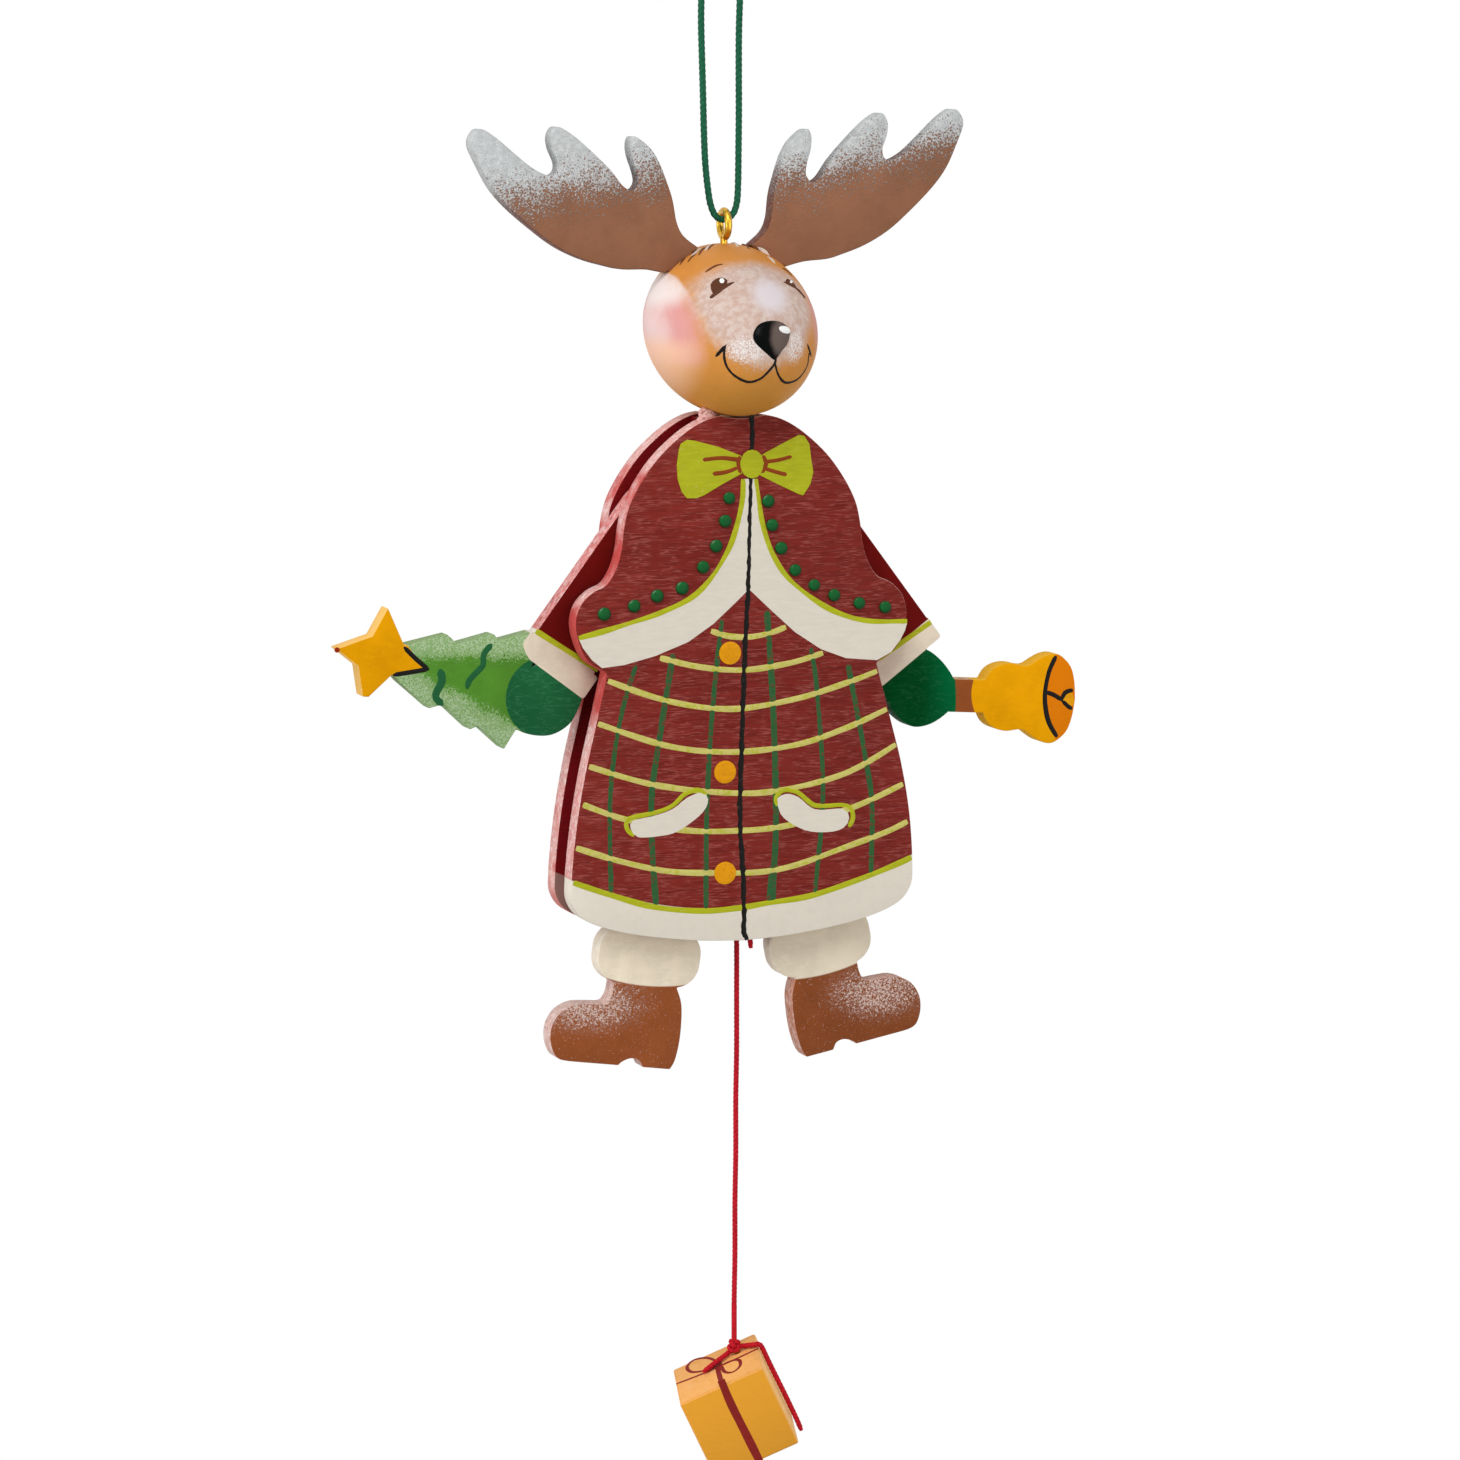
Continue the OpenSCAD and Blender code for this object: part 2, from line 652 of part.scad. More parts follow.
module gift_knot() {
  color("crimson") at_gift() translate([knot_x, knot_y, 0]) {
    translate([0, 0, knot_lift]) knot(gift_knot_d, gift_knot_d, pull_d);
    translate([0, 0, gift_w / 2 - plug_l]) cylinder(d = pull_d, h = plug_l + gift_knot_d / 2);
  }
}

// The two loose ends of the knot: one over the edge and down the side, one along the top
function long_route() = concat(
  [[knot_x + gift_knot_d / 2 + tie_lift, knot_y, tie_level]],
  [for (p = arc([tie_level - pull_d, tie_level - pull_d], pull_d, 90, 0, 3)) [p[0], knot_y / 2, p[1]]],
  [for (s = drop_shares) [tie_level + s[0] * pull_d, s[1] * gift_w, s[2] * gift_w]]
);

function short_route() = [for (s = short_shares) [s[0] * gift_w, s[1] * gift_w, tie_level]];

module tie_end_long() { color("crimson") at_gift() cord(long_route(), pull_d, [0, 1, 0]); }
module tie_end_short() { color("crimson") at_gift() cord(short_route(), pull_d, [0, 0, 1]); }

front_panel();
back_panel();
neck_block();
neck_dowel();
head();
antler_left();
antler_right();
screw_eye();
hang_loop();
hang_knot();
arm_peg_left();
arm_peg_right();
leg_peg_left();
leg_peg_right();
arm_left();
arm_right();
leg_left();
leg_right();
arm_link_cord();
leg_link_cord();
arm_link_knot();
leg_link_knot();
pull_cord();
cord_tail();
gift_box();
gift_knot();
tie_end_long();
tie_end_short();
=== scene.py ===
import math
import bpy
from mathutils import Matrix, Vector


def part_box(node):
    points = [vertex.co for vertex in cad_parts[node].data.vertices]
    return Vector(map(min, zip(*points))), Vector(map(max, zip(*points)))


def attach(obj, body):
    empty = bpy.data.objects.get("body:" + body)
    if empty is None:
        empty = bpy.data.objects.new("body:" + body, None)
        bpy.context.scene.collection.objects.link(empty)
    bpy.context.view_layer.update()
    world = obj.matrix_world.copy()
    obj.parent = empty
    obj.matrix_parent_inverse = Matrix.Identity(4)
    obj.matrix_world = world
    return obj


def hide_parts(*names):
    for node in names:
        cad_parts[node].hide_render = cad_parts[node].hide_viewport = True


bl_info = {
    "name": "Pull string moose",
    "version": (1, 0, 0),
    "blender": (4, 5, 0),
    "location": "View3D > Sidebar > Moose",
    "description": "Painted wooden moose whose arms and legs jump when its string is pulled",
    "category": "Object",
}

import bpy
from bpy.props import FloatProperty, FloatVectorProperty, PointerProperty
from mathutils import Euler, Matrix, Vector

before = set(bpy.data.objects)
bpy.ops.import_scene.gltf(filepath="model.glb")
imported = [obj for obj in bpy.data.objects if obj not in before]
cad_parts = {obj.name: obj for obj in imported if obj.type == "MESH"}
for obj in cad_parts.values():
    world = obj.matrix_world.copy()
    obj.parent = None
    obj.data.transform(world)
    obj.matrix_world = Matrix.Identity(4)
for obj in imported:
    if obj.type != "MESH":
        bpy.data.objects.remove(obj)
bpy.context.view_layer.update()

MM = 0.001

# The photographed view: the aim point in millimetres, the angles in degrees
PHOTO_SIDE = 1460
VIEW_AIM = (0, 0, -90.2)
VIEW_AZIMUTH = -19
VIEW_HEIGHT = 7.5
VIEW_DISTANCE = 600
VIEW_SPAN = 165.909

# Places of the boards in millimetres
COAT_FACE = -4.5
LIMB_FACE = -1.4
HEAD_CENTRE = (0, 0, -44.7426)
HEAD_SIZE = (18.9, 26, 18.6)
HEAD_TILT = 15
SHOULDER = (9, -65.935)
HIP = (8.6, -104.935)
ARM_REST = 37
LEG_RESTS = (8, 11)

# Cord routes in millimetres, as the solids have them
LOOP_ROUTE = [
    (1.25, 0.2, -2.9), (1.3, 0.2, -1.9), (1, 0.1, -0.6), (0, 0, 0), (-1.5, 0.1, -0.4),
    (-2.6, 0.2, -1.8), (-3.1, 0.4, -4.2), (-3.15, 0.6, -7), (-3.1, 0.9, -10.5),
    (-2.9, 1.2, -14.5), (-2.68, 1.5, -18.5), (-2.48, 1.8, -22.5), (-2.26, 2, -26),
    (-1.97, 2, -28.8), (-1.62, 2, -30.8), (-1, 2, -32.1), (0, 2, -32.5), (1, 2, -31.9),
    (1.5, 2, -30.6), (1.65, 2, -28.4), (1.66, 1.9, -25), (1.6, 1.6, -20.5), (1.45, 1.2, -16),
    (1.33, 0.8, -11.5), (1.25, 0.2, -7.4), (1.25, 0.2, -5.3),
]
PULL_ROUTE = [
    (0, 0, -64.5), (0, 0, -70), (0, 0, -76), (0, 0, -82), (0, 0, -88), (0, 0, -94), (0, 0, -99),
    (0.1, 0, -103), (0.4, 0, -107), (0.7, 0, -111), (0.8, 0, -115), (0.8, 0, -121), (0.8, 0, -127),
    (0.7, 0, -133), (0.7, 0, -139), (0.6, 0, -145), (0.6, 0, -151), (0.5, 0, -157), (0.5, 0, -161.9),
]
TAIL_ROUTE = [
    (0.6, -0.8, -103.4), (0.9, -0.9, -106), (1.5, -0.9, -109), (1.9, -0.9, -112), (2.2, -0.9, -115.3),
]
LOOP_D = 0.8
PULL_D = 0.65
LINK_D = 0.7
LINK_SIDE = 0.88
LINK_BACK = 0.705
LINK_TURN = 1.35
ARM_HOLE = (4.39, -62.935)
LEG_HOLE = (3.4, -101.935)
GIFT_W = 10.4
GIFT_TURN = (8.8, -24.4, -17.6)
GIFT_KNOT_AT = (2.725, 1.976, 6.14)
TIE_LONG = [
    (3.1, 1.976, 5.85), (3.735, 1.976, 5.625), (4.975, 0.988, 5.625), (5.3, 0.988, 5.538), (5.538, 0.988, 5.3),
    (5.625, 0.988, 4.975), (5.625, 0.832, 3.12), (5.658, 0.624, 1.04), (5.69, 0.52, -1.04), (5.69, 0.52, -3.12),
    (5.69, 0.416, -4.784), (5.625, 0.416, -6.24),
]
TIE_SHORT = [
    (2.4, 1.98, 5.85), (1.768, 1.976, 5.625), (0.832, 1.352, 5.625), (-0.312, 0.624, 5.625), (-1.56, -0.208, 5.625),
]

# Painted lines and patches of the coat, in pixels of the photograph
SEAM = [(752, 415), (752, 447), (750, 504), (748, 590), (745, 650), (742, 735), (740, 816), (743, 873), (744, 915),
        (744, 932), (747, 940)]
BOW_LEFT = [(679, 450), (681, 444), (687, 440), (695, 441), (718, 447), (741, 456), (742, 473), (722, 484),
            (704, 495), (696, 498), (687, 498), (682, 492), (678, 480), (677, 465)]
BOW_RIGHT = [(760, 456), (780, 445), (799, 435), (804, 436), (809, 444), (811, 460), (813, 472), (810, 484),
             (803, 495), (799, 494), (780, 485), (760, 475)]
BOW_KNOT = [(752, 450), (760, 454), (763, 464), (760, 474), (752, 478), (744, 474), (741, 464), (744, 454)]
BOW_CREASES = [
    [(740, 460), (721, 458), (701, 460)], [(739, 467), (726, 472), (711, 474)],
    [(763, 462), (778, 460), (793, 456)], [(763, 468), (776, 472), (788, 475)],
    [(740, 455), (738, 464), (741, 475)], [(762, 454), (766, 463), (764, 468), (761, 474)],
]
TRIM_LEFT = [(744, 479), (743, 500), (738, 524), (729, 550), (713, 577), (692, 598), (662, 613), (624, 626),
             (579, 639)]
TRIM_RIGHT = [(755, 479), (758, 500), (762, 524), (771, 552), (788, 579), (815, 601), (844, 616), (872, 622),
              (907, 622)]
BAND_LEFT = [(751, 479), (748, 590), (734, 604), (713, 624), (688, 642), (655, 656), (624, 665), (602, 668), (592, 660),
             (583, 648)]
BAND_RIGHT = [(752, 479), (750, 590), (770, 609), (795, 632), (821, 649), (846, 658), (877, 660), (891, 652),
              (900, 640), (905, 630)]
DOTS = [(729, 498), (725, 521), (716, 546), (703, 567), (682, 588), (657, 596), (634, 606), (604, 614),
        (768, 501), (772, 525), (781, 548), (795, 570), (814, 585), (834, 595), (859, 603), (885, 607)]
BUTTONS = [(730, 653), (725, 772), (725, 873)]
PLAID_ARCS = [
    [(711, 631), (728, 636), (749, 637), (770, 633), (786, 627)],
    [(660, 658), (700, 667), (744, 670), (790, 663), (823, 653)],
    [(594, 675), (608, 681), (668, 701), (731, 709), (795, 699), (846, 683), (882, 669), (894, 663)],
    [(586, 719), (596, 723), (668, 746), (731, 752), (795, 745), (846, 728), (889, 708), (902, 701)],
    [(577, 763), (587, 766), (655, 785), (731, 793), (782, 790), (846, 773), (900, 742), (912, 734)],
    [(571, 801), (581, 804), (624, 819), (683, 830), (731, 831), (785, 826), (851, 808), (905, 783), (918, 776)],
    [(566, 845), (576, 848), (619, 861), (666, 871), (711, 873), (760, 872), (796, 865), (843, 848), (886, 832),
     (912, 819), (924, 813)],
]
HEM_LINE = [(560, 878), (571, 882), (607, 894), (654, 907), (702, 911), (739, 908), (768, 903), (810, 896), (855, 881),
            (895, 865), (914, 856), (926, 850)]
PLAID_UPRIGHTS = [
    [(636, 665), (624, 704), (615, 750), (610, 806), (611, 893)],
    [(673, 654), (659, 742), (652, 793), (652, 844), (656, 905)],
    [(722, 620), (713, 704), (707, 806), (706, 909)],
    [(767, 611), (773, 704), (776, 819), (772, 902)],
    [(811, 648), (817, 691), (823, 793), (815, 893)],
    [(848, 664), (865, 755), (872, 806), (871, 873)], [(773, 866), (772, 884), (771, 902)],
]
UPRIGHT_WIDTHS = (0.9, 1.15, 0.95, 1.2, 0.9, 1.0, 1.7)
POCKETS = [
    [(633, 821), (654, 816), (673, 809), (687, 798), (701, 793), (708, 799), (702, 813), (678, 831), (659, 836),
     (638, 837), (631, 829)],
    [(777, 799), (786, 794), (798, 797), (810, 807), (820, 810), (843, 809), (849, 818), (843, 828), (827, 832),
     (805, 830), (784, 818), (778, 806)],
]
POCKET_RIMS = [
    [(634, 836), (627, 829), (627, 821), (634, 817), (654, 813), (672, 806), (685, 794), (698, 790), (707, 795)],
    [(777, 806), (776, 797), (784, 790), (797, 792), (807, 800), (814, 805), (824, 806), (843, 805), (851, 809),
     (853, 818), (849, 827)],
]

# Painted lines of the face and the limbs, in pixels of the photograph
NOSE = [(753, 334), (758, 325), (767, 321), (778, 321), (786, 325), (790, 333), (788, 343), (782, 351), (775, 360),
        (768, 355), (759, 347), (754, 341)]
NOSE_GLINT = [(779, 327), (785, 327), (789, 331), (787, 334), (781, 333), (778, 330)]
MOUTH = [
    [(725, 346), (724, 356), (727, 367), (735, 376), (748, 382), (760, 379), (769, 371), (775, 363), (776, 356)],
    [(775, 363), (778, 374), (784, 382), (792, 382), (800, 377), (807, 366), (809, 353)],
    [(714, 358), (720, 352), (727, 344)], [(807, 343), (810, 352), (812, 359)],
]
EYE_LEFT = [(710, 285), (715, 279), (722, 277), (728, 280), (728, 285), (721, 290), (713, 294)]
EYE_RIGHT = [(785, 279), (789, 279), (795, 284), (797, 289), (792, 287), (787, 284)]
EYE_GLINTS = [(722, 281, 2.6), (791, 282, 1.5)]
LIDS = [[(710, 298), (719, 291), (726, 286), (734, 282)], [(784, 282), (793, 286), (800, 292), (805, 298)]]
BROWS = [[(703, 274), (710, 269), (718, 265), (726, 264)], [(780, 267), (787, 271), (793, 277)]]
HAIR = [
    [(686, 265), (691, 258), (698, 252)], [(698, 257), (702, 250), (709, 245)], [(707, 252), (711, 246), (717, 243)],
    [(678, 268), (684, 259), (692, 251)], [(742, 243), (747, 246), (750, 251)], [(752, 245), (757, 248), (760, 253)],
]
HAIR_PALE = [
    [(690, 259), (697, 251), (704, 246)], [(704, 252), (709, 246), (714, 244)], [(731, 242), (736, 244), (738, 248)],
    [(757, 246), (764, 250), (770, 255)], [(766, 255), (772, 260), (776, 265)],
]
STAR_LINES = [[(404, 647), (416, 659), (429, 670)], [(429, 669), (412, 672), (393, 675)]]
STAR_TIP = (337, 650)
TREE_LINES = [
    [(440, 669), (442, 681), (437, 691), (436, 698), (443, 705)],
    [(492, 644), (484, 654), (483, 665), (476, 673), (469, 681), (467, 689)],
]
STRIPE_LEFT = [(536, 631), (566, 650), (598, 670)]
STRIPE_RIGHT = [(931, 622), (904, 641), (878, 659)]
BELL_LINES = [
    [(1056, 656), (1049, 672), (1045, 693), (1046, 711), (1050, 725), (1059, 740)],
    [(1046, 692), (1054, 695), (1062, 700)], [(1062, 700), (1065, 693), (1073, 690)],
    [(1062, 700), (1067, 705), (1072, 709)],
]
BELL_CLAPPER = [(1063, 700), (1066, 695), (1071, 692), (1074, 697), (1074, 704), (1070, 707)]
# Spots of painted shade on the coat's sawn edges: place in pixels, reach across and up in millimetres
SHADED_EDGE_SPOTS = [(604, 690, 5, 3.6), (606, 566, 3.5, 5.0), (572, 628, 2.2, 3.4), (638, 484, 2.6, 3.2)]
NECK_GLUE = [(706, 414, 0.85), (713, 419, 0.5), (701, 420, 0.45)]
GIFT_RIBBON = [(721, 1380), (731, 1404), (745, 1432), (762, 1466)]
GIFT_RUN = [(716, 1360), (718, 1370), (721, 1381)]
GIFT_LINES = [
    [(676, 1384), (697, 1376), (718, 1367), (740, 1357), (759, 1348)],
    [(722, 1364), (708, 1358), (694, 1360), (687, 1367), (692, 1372), (707, 1370), (722, 1364)],
    [(722, 1365), (731, 1361), (739, 1360), (740, 1366), (733, 1372), (725, 1372), (721, 1366)],
]

# Places of tints and painted highlights on the face and toes, in pixels of the photograph, some with their reach in
# millimetres
CHEEK_TOP, CHEEK_LOW, CHEEK_GLOW = (664, 272), (700, 314), (660, 312)
CHEEK_INNER, CHEEK_FOOT, CHEEK_FADE = ((712, 330), (686, 330)), ((680, 366), (680, 352)), ((662, 320), (685, 320))
CHEEK_RIGHT = ((817, 318), (2.4, 6, 4.2))
MUZZLE_MIDDLE = (758, 303)
MUZZLE_GLOW = ((771, 296), (2.7, 7, 2.3))
CHIN_SPOTS = (((746, 350), (2.9, 6, 1.9)), ((796, 347), (1.7, 6, 2.4)))
NOSE_SHEEN = ((781, 338), (1.55, 4, 2.3))
TOE_FROST = (((592, 1005), (7, 40, 3.3)), ((878, 991), (6.5, 40, 3.4)))

# Measures of the modelling in millimetres, steps on the head in pixels, angles in degrees
WELD = 0.002
FLAT_ANGLE = 1
EDGE_ANGLE = 55
STROKE_STEP = 0.4
STROKE_TAPER = 0.55
EDGE_MARGIN = 0.12
SLIVER = 0.01
PATCH_STEP = 0.6
DROP_SIDES = 24
DROP_RINGS = ((1.0, 0.5), (0.9, 0.3), (0.72, 0.16), (0.4, 0.04))
INK_STEP = 2.5
HEAD_PATCH_STEP = 2.0
HEAD_PATCH_RINGS = (1.0, 0.94, 0.82, 0.62, 0.36)
STRANDS = 3
LAY_CORD = 0.8
RED_LAY_DEPTH = 0.14
GREEN_LAY_DEPTH = 0.16
KNOT_LAY_DEPTH = 0.2
KNOT_POINTS = 48
EYE_POINTS = 48
EYE_START = -82
EYE_SWEEP = 338
EYE_NECK = 1.2
GLINT_TURN = 0.785

# Widths of single painted lines in millimetres
CREASE_WIDTH = 0.62
STRIPE_WIDTH = 0.62
STAR_LINE_WIDTH = 0.5
BOUGH_WIDTHS = (0.9, 0.7)
BELL_LINE_WIDTH = 0.56
RIBBON_WIDTH = 0.95
RIBBON_TOP_WIDTH = 0.6
GIFT_LINE_WIDTH = 0.44

# Where paints meet in millimetres: down a limb from its pivot, or at places (x, z) with their directions
SOFT = 0.05
SLEEVE_ENDS = (17.95, 18.55)
ARM_CUFF_END = 21.2
TROUSER_END = 6.8
FUR_END = 14.05
HEM_LEVEL, HEM_BOW, HEM_SLANT = -110, 0.0112, 0.02
TREE_MIDDLE, TREE_ACROSS = (-29.5, -83.3), (0.26, 0.966)
TREE_FOOT, TREE_AHEAD = (-25.4, -84.5), (-0.966, 0.259)
STAR_SIDES = (((-38.3, -78.87), (-0.8115, -0.584)), ((-36.45, -81.44), (-0.216, 0.976)))
STAR_ARM = (-38.3, -78.9)
STAR_BASE = -40.025
BELL_MOUTH, BELL_MOUTH_BOW = (38.025, -87.8), 0.055
BELL_LOBE, BELL_LOBE_BOW = (28.9, -87.1), 0.1
HANDLE_MIDDLE, HANDLE_HALF = -87.15, 2.05
TREE_MITTEN, TREE_MITTEN_REACH = (-22.3, 0, -85.4), (4.65, 50, 4.65)
BELL_MITTEN, BELL_MITTEN_BOW = (27, -87.5), 0.025
SNOW_LINES = ((0.154, -27.3), (0.185, -30.3))
MUZZLE_HALF, MUZZLE_RISE, MUZZLE_DROP = 7.2, 4.4, 7.15

# Light of the stage in metres, watts and shares
LAMPS = (("key", (-0.3, -0.5, 0.6), 0.42, 3.6), ("side", (-0.78, -0.06, 0.06), 0.34, 2.6),
         ("fill", (0.5, -0.62, 0.02), 0.6, 1.9))
FLOOR_RADIUS = 0.13
FLOOR_HEIGHT = -0.26
FLOOR_THICKNESS = 0.004
SKY_LIGHT = 0.42
PAINT_SHEEN = 0.08


def from_hex(code):
    """Linear colour of a six digit colour code."""
    shares = [int(code[i:i + 2], 16) / 255 for i in (0, 2, 4)]
    return tuple(s / 12.92 if s <= 0.04045 else ((s + 0.055) / 1.055) ** 2.4 for s in shares)


# Tints that a single finish needs
COAT_STREAK_AND_HIGHLIGHT = from_hex("A2544D")
COAT_EDGE_SHADED = from_hex("C44E4B")
SEAM_RUBBED = from_hex("4A3A30")
CREASE_BROWN = from_hex("8A3F18")
GLUE_PINK = from_hex("E9B9B2")
SLEEVE_EDGE = from_hex("D4827E")
ARM_CUFF = from_hex("E3D5BF")
MITTEN_SHADED = from_hex("02441C")
MITTEN_LIT = from_hex("03683A")
MITTEN_EDGE = from_hex("3F7D5A")
MITTEN_RUBBED = from_hex("4C8A66")
TREE_EDGE = from_hex("7FA56E")
TREE_RIME = from_hex("86A96C")
TREE_FROST = from_hex("A9C197")
TREE_SNOW = from_hex("C9D8BC")
BOUGH_GREEN = from_hex("1F5C34")
STAR_EDGE = from_hex("F0BE68")
STAR_TIP_RED = from_hex("9A2A0A")
BELL_EDGE = from_hex("F2B838")
HANDLE_EDGE = from_hex("C79A6E")
# Edge tints of the left and right boot; the right one is darker as painted shade.
BOOT_EDGES = from_hex("D6B0A6"), from_hex("C58972")
BOOT_RIME = from_hex("9C7A70")
BOOT_FROST = from_hex("CDB4AA")
ANTLER_EDGE = from_hex("6E4030")
CHEEK_PALE = from_hex("EBCDCB")
CHEEK_SHINE = from_hex("EFE7E4")
JOWL_LIGHT = from_hex("F8C6A4")
MUZZLE_LOW = from_hex("C3ABA1")
MUZZLE_WHITE = from_hex("EFEBE8")
MUZZLE_SHINE = from_hex("DEDAE2")
CHIN_DABS = from_hex("EAE2DE")
NOSE_BLACK = from_hex("030404")
NOSE_GREY = from_hex("655751")
GLINT_WHITE = from_hex("F4F4F2")
BROW_BROWN = from_hex("6E4222")
HAIR_FROST = from_hex("DDCBBE")
GIFT_SIDE_LIT = from_hex("FFC880")


def colour(name, code, about):
    return FloatVectorProperty(name=name, description=about, subtype="COLOR", size=3, min=0, max=1,
                               default=from_hex(code))


def length(name, value, about):
    return FloatProperty(name=name, description=about, unit="LENGTH", default=value * MM, min=0)


class MooseSizes(bpy.types.PropertyGroup):
    """Sizes of the finish, in metres"""
    sanding: length("Sanding", 0.16, "Round of the sanded board edges")
    paint: length("Paint height", 0.035, "How far a painted line stands off the wood")
    plaid: length("Plaid line", 0.66, "Width of the lime plaid lines")
    upright: length("Upright line", 0.62, "Width of the green upright lines")
    seam: length("Seam line", 0.6, "Width of the black seam")
    trim: length("Trim line", 0.74, "Width of the lime trim on the cape")
    face_line: length("Face line", 0.3, "Width of the inked lines of the face")
    dot: length("Dot", 1.42, "Diameter of the green dots")
    button: length("Button", 2.6, "Diameter of the buttons")
    lay: length("Lay", 1.9, "Length of one turn of the cords' strands")


class MooseColours(bpy.types.PropertyGroup):
    """Colours of the paints, the woods, the wire and the cords"""
    coat: colour("Coat", "7A251F", "Red of the coat's face")
    # Dark red between the boards and under the coat: their red paint, darkened as painted shade.
    coat_gap_shade: colour("Coat shade", "6E060B", "Deep red of the gap between the boards")
    # The sawn edges show this where they face up, as painted light; painted shade turns them redder where they face
    # down.
    coat_edge: colour("Coat edge", "DFA9A3", "Thin red over pale primer on the sawn edges")
    sleeve: colour("Sleeve", "661210", "Deep red of the sleeves")
    lime: colour("Lime", "AEB220", "Bow, trim and hem line")
    lime_pale: colour("Pale lime", "C9C06C", "Plaid arcs, thin lime over the red")
    fern: colour("Fern", "2E5C33", "Upright plaid lines")
    cream: colour("Cream", "E2DACB", "Bands of the cape, pockets and hem")
    fur: colour("Fur", "EFE1C9", "Fur cuffs of the boots")
    emerald: colour("Emerald", "165F2C", "Dots of the cape")
    amber: colour("Amber", "E0960C", "Buttons")
    ink: colour("Ink", "161412", "Seam, mouth and the outlines of star and bell")
    tan: colour("Tan", "CF8A41", "Head")
    tan_low: colour("Low tan", "CF8E3C", "Underside of the head")
    blush: colour("Blush", "DC9C9A", "Cheeks")
    frost: colour("Frost", "D4C6C1", "Frosted muzzle")
    umber: colour("Umber", "5A3423", "Eyes and lids")
    antler: colour("Antler", "926349", "Antlers")
    snow: colour("Snow", "C6C9C9", "Snow on the antler tips")
    mitten: colour("Mitten", "1F6139", "Mitten that holds the tree")
    tree: colour("Tree", "568F30", "Tree")
    star: colour("Star", "E39C06", "Star and bell")
    rust: colour("Rust", "E07C0C", "Mouth of the bell")
    boot: colour("Boot", "955029", "Boots and the bell's handle")
    brass: colour("Brass", "D9A93A", "Screw eye")
    cord_green: colour("Green cord", "286F50", "Hanging loop")
    cord_red: colour("Red cord", "D62030", "Pull string")
    gift: colour("Gift", "DE9A2E", "Front of the gift box")
    # Top and sides of the gift: a paler paint, partly painted light.
    gift_top: colour("Gift top", "F2B066", "Top and left side of the gift box")
    ribbon: colour("Ribbon", "862420", "Lines painted on the gift")
    wood: colour("Bare wood", "C9A679", "Wood left unpainted")


def sizes():
    return bpy.context.scene.moose_sizes


def paints():
    return bpy.context.scene.moose_colours


# Sight lines of the photographed view

def view_axes():
    """The eye in millimetres, and the view's right, up and backward directions."""
    az = math.radians(VIEW_AZIMUTH)
    el = math.radians(VIEW_HEIGHT)
    aim = Vector(VIEW_AIM)
    back = Vector((math.sin(az) * math.cos(el), -math.cos(az) * math.cos(el), math.sin(el)))
    right = Vector((math.cos(az), math.sin(az), 0))
    return aim + back * VIEW_DISTANCE, right, back.cross(right), back


def sight(px, py):
    """The eye and the ray from it through a pixel."""
    eye, right, up, back = view_axes()
    focal = PHOTO_SIDE * VIEW_DISTANCE / VIEW_SPAN
    return eye, right * (px - PHOTO_SIDE / 2) + up * (PHOTO_SIDE / 2 - py) - back * focal


def on_board(px, py, face):
    """The point of a board's face, in millimetres, that shows at a pixel."""
    eye, ray = sight(px, py)
    return eye + ray * ((face - eye.y) / ray.y)


def gift_place():
    """From the gift's own place to the hanging place, in millimetres."""
    turn = Euler([math.radians(a) for a in GIFT_TURN]).to_matrix().to_4x4()
    return Matrix.Translation(PULL_ROUTE[-1]) @ turn @ Matrix.Translation(-Vector(GIFT_KNOT_AT))


def on_gift(px, py, axis, level):
    """The point of the gift's own frame, in millimetres, that shows at a pixel on one of its faces."""
    to_gift = gift_place().inverted()
    eye, ray = sight(px, py)
    near = to_gift @ eye
    step = to_gift.to_3x3() @ ray
    return near + step * ((level - near[axis]) / step[axis])


def on_head(px, py, lift=0.0):
    """The point of the head, in millimetres, that shows at a pixel, raised by lift."""
    eye, ray = sight(px, py)
    turn = Matrix.Rotation(math.radians(HEAD_TILT), 3, "X")
    size = Matrix.Diagonal([s / 2 for s in HEAD_SIZE])
    flat = (turn @ size).inverted()
    o = flat @ (eye - Vector(HEAD_CENTRE))
    d = flat @ ray
    b = o.dot(d)
    inside = b * b - d.dot(d) * (o.dot(o) - 1)
    hit = o + d * ((-b - math.sqrt(max(inside, 0))) / d.dot(d))
    out = (turn @ size.inverted() @ hit).normalized()
    return turn @ size @ hit + Vector(HEAD_CENTRE) + out * lift


def smooth_points(points, step, closed=False):
    """Points along a smooth line through the given ones, about step apart."""
    pts = [Vector(p) for p in points]
    n = len(pts)
    out = []
    for i in range(n if closed else n - 1):
        if closed:
            a, b, c, d = (pts[(i + k) % n] for k in (-1, 0, 1, 2))
        else:
            b, c = pts[i], pts[i + 1]
            a = pts[i - 1] if i else b * 2 - c
            d = pts[i + 2] if i + 2 < n else c * 2 - b
        parts = max(1, round((c - b).length / step))
        for k in range(parts):
            t = k / parts
            out.append(((b * 2) + (c - a) * t + (a * 2 - b * 5 + c * 4 - d) * t ** 2
                        + (b * 3 - a - c * 3 + d) * t ** 3) / 2)
    if not closed:
        out.append(pts[-1])
    return out


def waver(i, seed):
    """A fixed hand-made unevenness from -1 to 1."""
    return math.sin(i * 12.9898 + seed * 78.233) * 0.6 + math.sin(i * 4.137 + seed * 11.7) * 0.4


# Modelling steps

def pick(*objs):
    """Object mode with only these objects selected."""
    if bpy.context.object and bpy.context.object.mode != "OBJECT":
        bpy.ops.object.mode_set(mode="OBJECT")
    bpy.ops.object.select_all(action="DESELECT")
    for o in objs:
        o.select_set(True)
    if objs:
        bpy.context.view_layer.objects.active = objs[0]


def edit_all():
    bpy.ops.object.mode_set(mode="EDIT")
    bpy.ops.mesh.select_all(action="SELECT")


def leave_edit():
    bpy.ops.object.mode_set(mode="OBJECT")


def join(objs):
    pick(*objs)
    if len(objs) > 1:
        bpy.ops.object.join()
    return bpy.context.object


